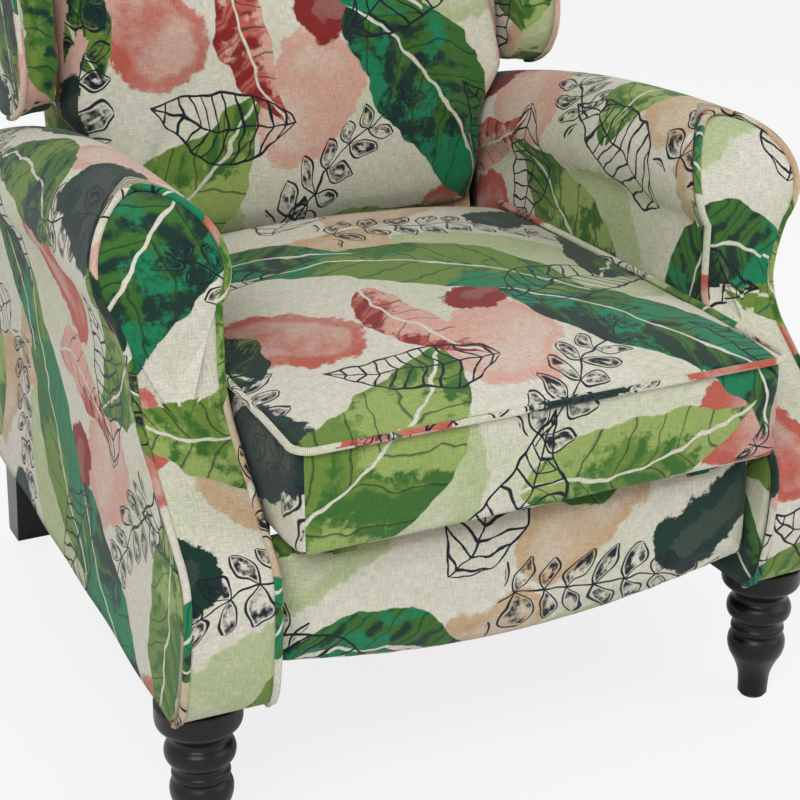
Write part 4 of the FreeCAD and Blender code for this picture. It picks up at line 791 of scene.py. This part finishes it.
plan = np.array(
    [
        *np.linspace((-238.5, 127.0), (-252.0, -404.0), 60)[:-1],
        *arc((-252.0, -404.0), (-234.0, -422.0), 18.0, 10)[:-1],
        *np.linspace((-234.0, -422.0), (234.0, -422.0), 60)[:-1],
        *arc((234.0, -422.0), (252.0, -404.0), 18.0, 10)[:-1],
        *np.linspace((252.0, -404.0), (238.5, 127.0), 60),
    ]
)
rise = np.interp(plan[:, 1], [-422, -360, -282, -170, 127], [429.5, 432.0, 434.0, 435.0, 433.0])
path = np.stack([plan[:, 0] * 0.995, plan[:, 1] + 0.8, rise], axis=-1)
points, cloth = cord_along(path, np.array([0.0, 0.0, 1.0]), 3.6)
piping = sheet_mesh("seat_piping", points, cloth + np.array([90.0, 330.0]))
dress(piping, printed_linen, "welt_cord", "seat", "seat_welt")

# The footrest: foam on a board that hangs between the arms, its lower edge cut to a shallow curve.


def footrest_ring(inset, depth):
    """The footrest from the front, moved in by an inset: a flat top, upright sides and a curved
    lower edge."""
    half, high = 251.0 - inset, 321.0 - inset
    corner, belly = 203.0 + inset, 172.0 + inset
    t = np.linspace(-1.0, 1.0, 40)
    low = belly + (corner - belly) * t**2
    runs = [
        np.stack([half * t, low], axis=-1),
        np.stack([half + 0.0 * t, corner + (high - corner) * (t + 1.0) / 2.0], axis=-1)[1:],
        np.stack([-half * t, high + 0.0 * t], axis=-1)[1:],
        np.stack([-half + 0.0 * t, high + (corner - high) * (t + 1.0) / 2.0], axis=-1)[1:],
    ]
    ring = np.concatenate(runs)
    return np.stack([ring[:, 0], depth + 0.0 * ring[:, 0], ring[:, 1]], axis=-1)


rest_stack = ((3.0, -375.0), (0.8, -372.0), (0.4, -366.0), (0.4, -350.0), (0.8, -342.0))
rest_rings = [footrest_ring(inset, depth) for inset, depth in rest_stack]
footrest = ring_solid("footrest_cover", np.stack(rest_rings))
swell(footrest, 5.0, 3.0, 6.0, lambda point: point[:, 1] > -366.0, 2)
lay_cloth(
    footrest,
    [
        ((0, -1, 0), (1, 0, 0), (0, 0, 1), (0, seat_front - seat_low - 108.0)),
        ((0, 1, 0), (-1, 0, 0), (0, 0, 1), (0, 0)),
        ((0, 0, 1), (1, 0, 0), (0, 1, 0), (0, -60)),
        ((0, 0, -1), (1, 0, 0), (0, -1, 0), (0, -660)),
        ((1, 0, 0), (0, 1, 0), (0, 0, 1), (640, -855)),
        ((-1, 0, 0), (0, -1, 0), (0, 0, 1), (-640, -855)),
    ],
    main_cloth,
)
dress(footrest, printed_linen, "printed_linen", "footrest", "footrest_pad")

# The back: springy webbing on a plywood frame, under a full cushion that leans with it and stands
# between the wings above and between the arms below.

back_rake = math.radians(12.4)
back_start = np.array([0.0, 112.0, 500.0])
back_thick = 76.0


def leaned(points, start, rake):
    """Takes points from an upright frame of their own to their place, leaning back by a rake."""
    x, depth, height = points[..., 0], points[..., 1], points[..., 2]
    cos, sin = math.cos(rake), math.sin(rake)
    return start + np.stack([x, depth * cos + height * sin, height * cos - depth * sin], axis=-1)


def back_ring(height, half, crown, side_depth, count=40):
    """A level slice of the back: a flat rear, round sides and a front that is crowned as the share
    of the way out to the power of 2.2."""
    t = np.linspace(0.0, 1.0, count)
    bend = math.pi / 2.0 * np.linspace(0.0, 1.0, 12)[1:]
    corner = 26.0
    inner, deep = half - corner, side_depth + corner
    front = crown + (side_depth - crown) * np.abs(1.0 - 2.0 * t) ** 2.2
    runs = [
        ((half - 1.0) * (2.0 * t - 1.0), back_thick + 0.0 * t),
        (half + 0.0 * t[1:], back_thick + (deep - back_thick) * t[1:]),
        (inner + corner * np.cos(bend), deep - corner * np.sin(bend)),
        (inner * (1.0 - 2.0 * t[1:]), front[1:]),
        (-inner - corner * np.sin(bend), deep - corner * np.cos(bend)),
        (-half + 0.0 * t[1:], deep + (back_thick - deep) * t[1:]),
    ]
    x, depth = (np.concatenate(run) for run in zip(*runs))
    return np.stack([x, depth, height + 0.0 * x], axis=-1)


back_heights = [-60, -50, -38, -22, -5, 14, 40, 58, 74, 92, 105, 145, 222, 312, 407, 480, 501, 512]
knots = [-60, -40, -5, 30, 125, 312, 450, 480, 512]
back_halves = np.interp(back_heights, [40, 58, 74, 92, 105], [225, 232, 246, 259, 260])
back_crowns = np.interp(back_heights, knots, [62, 43, 17, 5, -5, -2, 4, 10, 32])
back_sides = np.interp(back_heights, knots, [66, 49, 25, 15, 9, 10, 14, 17, 37])
rings = [back_ring(*slice_) for slice_ in zip(back_heights, back_halves, back_crowns, back_sides)]
back = ring_solid("back_cover", leaned(np.stack(rings), back_start, back_rake))


def back_held(point):
    """The rear and the sides are stapled to the frame."""
    _, y, z = (point - back_start).T
    return y * math.cos(back_rake) - z * math.sin(back_rake) > 42.0


swell(back, 6.0, 4.0, 14.0, back_held)
up = (0.0, math.sin(back_rake), math.cos(back_rake))
lay_cloth(
    back,
    [
        ((0, -1, 0.2), (1, 0, 0), up, (0, -273)),
        ((0, 1, -0.2), (-1, 0, 0), up, (0, 0)),
        ((1, 0, 0), (0, 1, 0), up, (150, -273)),
        ((-1, 0, 0), (0, -1, 0), up, (-150, -273)),
        ((0, 0, 1), (1, 0, 0), (0, 1, 0), (0, 550)),
        ((0, 0, -1), (1, 0, 0), (0, 1, 0), (0, 0)),
    ],
    main_cloth,
)
dress(back, printed_linen, "printed_linen", "back", "back_cushion")

# Below the wings, the plywood sides of the back are wrapped with a strip of the cover.

back_slope, back_low, back_deep = 85.0 / 710.0, 340.0, 710.0
levels = np.linspace(482.0, 606.0, 14)[:, None]
near = back_start[1] + 74.0 * math.cos(back_rake)
near = near + (levels - back_start[2]) * math.tan(back_rake)
far = 331.0 + (levels - back_low) * back_slope
share = np.concatenate([np.linspace(0.0, 1.0, 12), np.linspace(1.0, 0.0, 12), [0.0]])[None]
outward = np.array([229.4] * 12 + [226.4] * 12 + [229.4])
depth = near + (far - near) * share
strip = np.stack([outward + 0.0 * depth, depth, levels + 0.0 * depth], axis=-1)
shut = [strip[:1] * 0.0 + (227.9, strip[..., 1].mean(), level) for level in levels[[0, -1], 0]]
strip = np.concatenate([shut[0], strip, shut[1]])
for side, sign in sides:
    points = strip * np.array([sign, 1.0, 1.0])
    wrap = sheet_mesh(f"back_side_wrap_{side}", points, strip[..., 1:] + np.array([60.0, 200.0]))
    dress(wrap, printed_linen, "printed_linen", "back")

# The roll along the top of the back: wadding wrapped over the frame's top ends.


def upright(view, x):
    """A side view's points, at a distance from the chair's middle."""
    return np.stack([x + 0.0 * view[:, 0], view[:, 0], view[:, 1]], axis=-1)


def bar(view, stations):
    """A bar across the chair: its side view carried from one x to the next, with the share of its
    size to which it is drawn in there."""
    middle = view.mean(axis=0)
    return np.stack([upright(middle + (view - middle) * size, x) for x, size in stations])


roll_side_view = np.array(
    [
        *arc((252.0, 1010.0), (290.0, 1046.0), -44.0, 12),
        *np.linspace((296.0, 1046.0), (408.0, 1046.0), 14),
        *np.linspace((409.5, 1040.0), (404.0, 1004.0), 8),
        *np.linspace((398.0, 1001.0), (258.0, 1003.0), 16),
    ]
)
roll_side_view = np.concatenate([roll_side_view, roll_side_view[:1]])
half = ((262.0, 1.0), (266.0, 0.9), (266.0, 0.0))
points = bar(roll_side_view, (*((-x, size) for x, size in half[::-1]), (0.0, 1.0), *half))
around = lengths(roll_side_view) + 510.0
cloth = np.stack([points[..., 0], around[None] + 0.0 * points[..., 0]], axis=-1)
top_roll = sheet_mesh("back_top_cover", points, cloth + np.array(main_cloth))
dress(top_roll, printed_linen, "printed_linen", "back", "back_top_roll")

# The outside of the back: a board under a thin pad, covered, narrow where it drops between the arms
# and wide behind the wings, with soft corners at the top.


stretch = math.sqrt(1.0 + back_slope**2)
panel_tall, panel_step, top_corner, panel_thick = back_deep * stretch, 315.0 * stretch, 60.0, 10.0


def outside_half(height):
    """Half the panel's width at a height above its foot: narrow, a short step, wide, and a round
    top corner."""
    wide = np.interp(height, [0.0, panel_step - 20.0, panel_step], [229.0, 229.0, 313.0])
    over = np.clip(height - (panel_tall - top_corner), 0.0, top_corner)
    return wide - (top_corner - np.sqrt(top_corner**2 - over**2))


turn = np.sin(np.linspace(0.0, math.pi / 2.0, 16))
levels = [np.linspace(0.0, panel_tall - top_corner, 60), panel_tall - top_corner * (1.0 - turn)]
levels = np.unique(np.concatenate([*levels, [297.0, 299.0, 317.0, 319.0]]))[:, None]
share = np.linspace(-1.0, 1.0, 60)
swollen = 1.0 - (np.abs(levels - panel_tall / 2.0) / (panel_tall / 2.0)) ** 40
swollen = swollen * (1.0 - np.abs(share) ** 14)
faces = []
for facing, depth in ((1.0, panel_thick - 3.0 + 3.0 * swollen), (-1.0, 0.0 * swollen)):
    x = facing * share * outside_half(levels)
    faces.append(np.stack([x, depth, levels + 0.0 * x], axis=-1))
points = np.concatenate([*faces, faces[0][:, :1]], axis=1)
bottom, top = points[:1].copy(), points[-1:].copy()
bottom[..., :2], top[..., :2] = (0.0, panel_thick / 2.0), (0.0, panel_thick / 2.0)
points = np.concatenate([bottom, points, top])
cloth = points[..., [0, 2]] * np.array([-1.0, 1.0])
points = points - np.array([0.0, panel_thick, 0.0])
points = leaned(points, np.array([0.0, back_low, back_low]), math.atan(back_slope))
outside = sheet_mesh("outside_back_cover", points, cloth + np.array([20.0, 130.0]))
dress(outside, printed_linen, "printed_linen", "back", "outside_back")

# The wings: a plywood board in each, padded on both faces and wrapped, with a cord sewn along the
# outer front edge, where the outer face meets the front band.

wing_view = np.array(
    [
        (322.0, 648.0),
        *np.linspace((368.0, 668.0), (413.0, 1044.0), 20),
        *np.linspace((400.0, 1044.0), (262.0, 1044.0), 8),
        *arc((260.0, 1044.0), (156.0, 894.0), 160.0, 24),
        *np.linspace((150.0, 832.0), (132.5, 650.0), 10),
        *arc((132.0, 645.0), (190.0, 578.0), 66.0, 18),
        *np.linspace((200.0, 576.0), (226.0, 572.0), 4),
        *np.linspace((236.0, 573.0), (310.0, 640.0), 8),
    ]
)
wing_view = np.concatenate([wing_view, wing_view[:1]])
wing_middle = np.array([270.0, 800.0])


def wing_rings(inset, x):
    """The wing from the side, drawn in by an inset, at a distance from the chair's middle."""
    out = wing_view - wing_middle
    far = np.linalg.norm(out, axis=-1, keepdims=True)
    return upright(wing_middle + out * (1.0 - inset / far), x)


def wing_held(point):
    """The rear is stapled to the frame, and the cord's seam is sewn."""
    return (point[:, 1] > 400.0) | (np.abs(point[:, 0] - 311.0) < 3.0)


wing_stack = ((4.0, 270.0), (1.0, 272.5), (0.6, 290.0), (1.0, 310.0), (3.0, 312.5))
wing = ring_solid("wing_cover_right", np.stack([wing_rings(inset, x) for inset, x in wing_stack]))
swell(wing, 5.0, 3.0, 4.0, wing_held, 2)

# The wing's cord lies on the swollen cover: as far from the wing's middle as the skin reaches at
# the same angle.

seam = wing_view[29:82] - wing_middle
skin = places(wing.data) * 1000.0
skin = skin[skin[:, 0] > 303.0, 1:] - wing_middle
seam_angle, skin_angle = (np.arctan2(run[:, 1], run[:, 0]) for run in (seam, skin))
turn = (seam_angle[:, None] - skin_angle[None] + math.pi) % (2.0 * math.pi) - math.pi
reach = np.where(np.abs(turn) < 0.035, np.linalg.norm(skin, axis=-1)[None], 0.0).max(axis=1)
seam *= (reach - 0.8)[:, None] / np.linalg.norm(seam, axis=-1, keepdims=True)
knots = upright(wing_middle + seam, 310.5)
welt_points, welt_cloth = cord_along(curve_through(knots, 150), np.array([1.0, 0.0, 0.0]), 3.4)
for side, sign in sides:
    piece = wing
    if sign < 0.0:
        piece = wing.copy()
        piece.data = wing.data.copy()
        piece.name = "wing_cover_left"
        bpy.context.scene.collection.objects.link(piece)
        piece.data.transform(((-1, 0, 0, 0), (0, 1, 0, 0), (0, 0, 1, 0), (0, 0, 0, 1)))
        piece.data.flip_normals()
    lay_cloth(
        piece,
        [
            ((-1, 0, 0), (0, -1, 0), (0, 0, 1), (60, 0)),
            ((1, 0, 0), (0, 1, 0), (0, 0, 1), (0, 0)),
            ((0, -1, 0), (1, 0, 0), (0, 0, 1), (120, 40)),
            ((0, 1, 0), (-1, 0, 0), (0, 0, 1), (0, 90)),
            ((0, 0, 1), (1, 0, 0), (0, 1, 0), (0, 40)),
            ((0, 0, -1), (1, 0, 0), (0, -1, 0), (0, 240)),
        ],
        (410.0, 90.0) if sign > 0.0 else (170.0, 380.0),
    )
    dress(piece, printed_linen, "printed_linen", "back", f"wing_{side}")
    cloth = welt_cloth + np.array([250.0, 40.0])
    piping = sheet_mesh(f"wing_piping_{side}", welt_points * np.array([sign, 1.0, 1.0]), cloth)
    dress(piping, printed_linen, "welt_cord", "back", f"wing_welt_{side}")

# The apron across the rear: a covered board between the arms, under the back.

low, high = (np.array(corner) * 1000.0 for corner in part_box("rear_apron"))
corner, plain = 5.0, 12.0
section = np.array(
    [
        *arc((low[1] + corner, low[2]), (low[1], low[2] + corner), -corner, 6),
        *np.linspace((low[1], low[2] + plain), (low[1], high[2] - plain), 12),
        *arc((low[1], high[2] - corner), (low[1] + corner, high[2]), -corner, 6),
        *arc((high[1] - corner, high[2]), (high[1], high[2] - corner), -corner, 6),
        *np.linspace((high[1], high[2] - plain), (high[1], low[2] + plain), 12),
        *arc((high[1], low[2] + corner), (high[1] - corner, low[2]), -corner, 6),
    ]
)
section = np.concatenate([section, section[:1]])
run = [low[0], low[0], low[0] + 2.0, *np.linspace(low[0] + 10.0, high[0] - 10.0, 30)]
run += [high[0] - 2.0, high[0], high[0]]
points = bar(section, zip(run, [0.0, 0.97, *([1.0] * 32), 0.97, 0.0]))
cloth = np.stack([-points[..., 0], lengths(section)[None] + 0.0 * points[..., 0]], axis=-1)
apron_cover = sheet_mesh("rear_apron_cover", points, cloth + np.array([20.0, 520.0]))
dress(apron_cover, printed_linen, "printed_linen", "base", "rear_apron")

# What the cover hides: plywood and beech, powder-coated link plates, zinc-plated pins and bolts,
# spring wire, webbing and nylon.


def wood(pale, dark, size):
    """Straight grain: noise drawn out along the board, with darker pores and a soft figure."""

    def build(start):
        place = start.node("TexCoord", output=3)
        grain_place = start.node("Mapping", inputs={0: place, 3: (0.12, 1.0, 1.0)})
        figure = start.noise(grain_place, size, 5.0, Roughness=0.6)
        pores = start.noise(grain_place, size * 14.0, 2.0)
        colour = figure.rise(0.3, 0.72).blend(pale, dark)
        colour = (pores.rise(0.58, 0.75) * 0.5).blend(colour, dark)
        return {
            "Base Color": colour,
            "Roughness": pores * 0.2 + 0.5,
            "Normal": pores.bump(0.3, 0.0004),
        }

    return build


plywood = finish("birch_plywood", wood((0.62, 0.46, 0.28), (0.44, 0.29, 0.15), 40.0))
hardwood = finish("planed_beech", wood((0.50, 0.31, 0.17), (0.32, 0.17, 0.08), 55.0))


def metal(colour, metallic, rough, speckle):
    """A hard finish whose shine varies a little, with fine orange peel or grain."""

    def build(start):
        place = start.node("TexCoord", output=3)
        cloud = start.noise(place, 60.0, 3.0)
        darker = tuple(0.7 * part for part in colour)
        return {
            "Base Color": cloud.rise(0.35, 0.7).blend(colour, darker),
            "Metallic": metallic,
            "Roughness": cloud * 0.15 + rough,
            "Normal": start.noise(place, 1600.0, 2.0).bump(speckle, 0.0002),
        }

    return build


black_steel = finish("powder_coat", metal((0.020, 0.020, 0.022), 0.0, 0.38, 0.35))
zinc_steel = finish("zinc_plate", metal((0.55, 0.56, 0.58), 1.0, 0.28, 0.15))
spring_steel = finish("spring_wire", metal((0.20, 0.21, 0.22), 1.0, 0.34, 0.15))
nylon = finish("nylon", metal((0.025, 0.025, 0.026), 0.0, 0.45, 0.2))


def woven_strap(start):
    """Elastic webbing: a close basket of black and grey threads."""
    across = start.node("SeparateXYZ", inputs={0: start.node("TexCoord", output=3)})
    weave = start.math("SINE", across * 2600.0) * start.math("SINE", across.beside(2) * 1900.0)
    return {
        "Base Color": weave.rise(-0.2, 0.8).blend((0.03, 0.03, 0.03), (0.16, 0.15, 0.14)),
        "Roughness": 0.8,
        "Normal": weave.bump(0.5, 0.0005),
    }


webbing = finish("webbing", woven_strap)


def pair(*names):
    """The left and the right node of each name."""
    return [f"{name}_{side}" for name in names for side, _ in sides]


carried(plywood, *pair("arm_frame", "back_side", "wing_board"), "footrest_board")
carried(hardwood, "middle_cross_rail", "rear_cross_rail", "seat_frame")
carried(hardwood, "back_cross_rails", "wing_blocks")
carried(black_steel, *pair("base_angle", "back_pivot_plate", "seat_side_plate"))
carried(black_steel, *pair("footrest_bracket", "back_bracket"), "leg_plates", "torque_tube")
carried(black_steel, "rear_links", "front_links", "main_links")
carried(zinc_steel, "leg_hanger_bolts", "base_bolts", "slide_studs", "seat_pivot_pins")
carried(zinc_steel, "rear_link_pins", "main_link_pins", "spring_clips")
carried(spring_steel, "seat_springs")
carried(webbing, "back_webbing")
carried(nylon, "leg_glides")

# A white studio sweep under soft even light. The camera, mirrors and clear things see it white, and
# the floor keeps the chair's shadow.


white = (1.0, 1.0, 1.0, 1.0)
bpy.ops.mesh.primitive_plane_add(size=14.0, location=(0.0, 0.0, -0.0005))
floor = bpy.context.object
floor.name = "studio_floor"
material = bpy.data.materials.new("studio_floor")
material.use_nodes = True
material.node_tree.nodes.clear()
start = Wire(material.node_tree)
paper = start.node("BsdfDiffuse", inputs={"Color": (0.86, 0.86, 0.86, 1.0)})
glow = start.node("Emission", inputs={"Color": white, "Strength": 1.0})
mixed = start.node("MixShader", inputs={0: start.node("LightPath") * 0.82, 1: paper, 2: glow})
out = start.tree.nodes.new("ShaderNodeOutputMaterial")
start.tree.links.new(mixed.socket, out.inputs["Surface"])
floor.data.materials.append(material)
floor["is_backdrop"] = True

world = bpy.data.worlds.new("studio")
bpy.context.scene.world = world
world.use_nodes = True
world.node_tree.nodes.clear()
start = Wire(world.node_tree)
seen = start.node("LightPath")
direct = start.math("MAXIMUM", start.math("MAXIMUM", seen, seen.beside(3)), seen.beside(11))
ambient = start.node("Background", inputs={"Color": white, "Strength": 0.42})
backdrop = start.node("Background", inputs={"Color": white, "Strength": 1.0})
sky = start.node("MixShader", inputs={0: direct, 1: ambient, 2: backdrop})
out = start.tree.nodes.new("ShaderNodeOutputWorld")
start.tree.links.new(sky.socket, out.inputs["Surface"])

for name, spot, size, power in (
    ("key", (-1.6, -2.2, 2.6), 1.6, 50.0),
    ("fill", (2.2, -1.8, 1.9), 2.2, 22.0),
    ("rear", (0.4, 2.0, 2.4), 1.8, 18.0),
):
    lamp = bpy.data.lights.new(name, "AREA")
    lamp.shape, lamp.size, lamp.energy = "SQUARE", size, power
    holder = bpy.data.objects.new(name, lamp)
    holder.location = spot
    aim_at = np.array([0.0, 0.0, 0.45]) - np.array(spot)
    flat = math.hypot(aim_at[0], aim_at[1])
    holder.rotation_euler = (math.atan2(flat, -aim_at[2]), 0.0, math.atan2(-aim_at[0], aim_at[1]))
    bpy.context.scene.collection.objects.link(holder)

boxes = {"cad": cad_box, "visual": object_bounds()}
plain = {name: [[float(v) for v in corner] for corner in box] for name, box in boxes.items()}
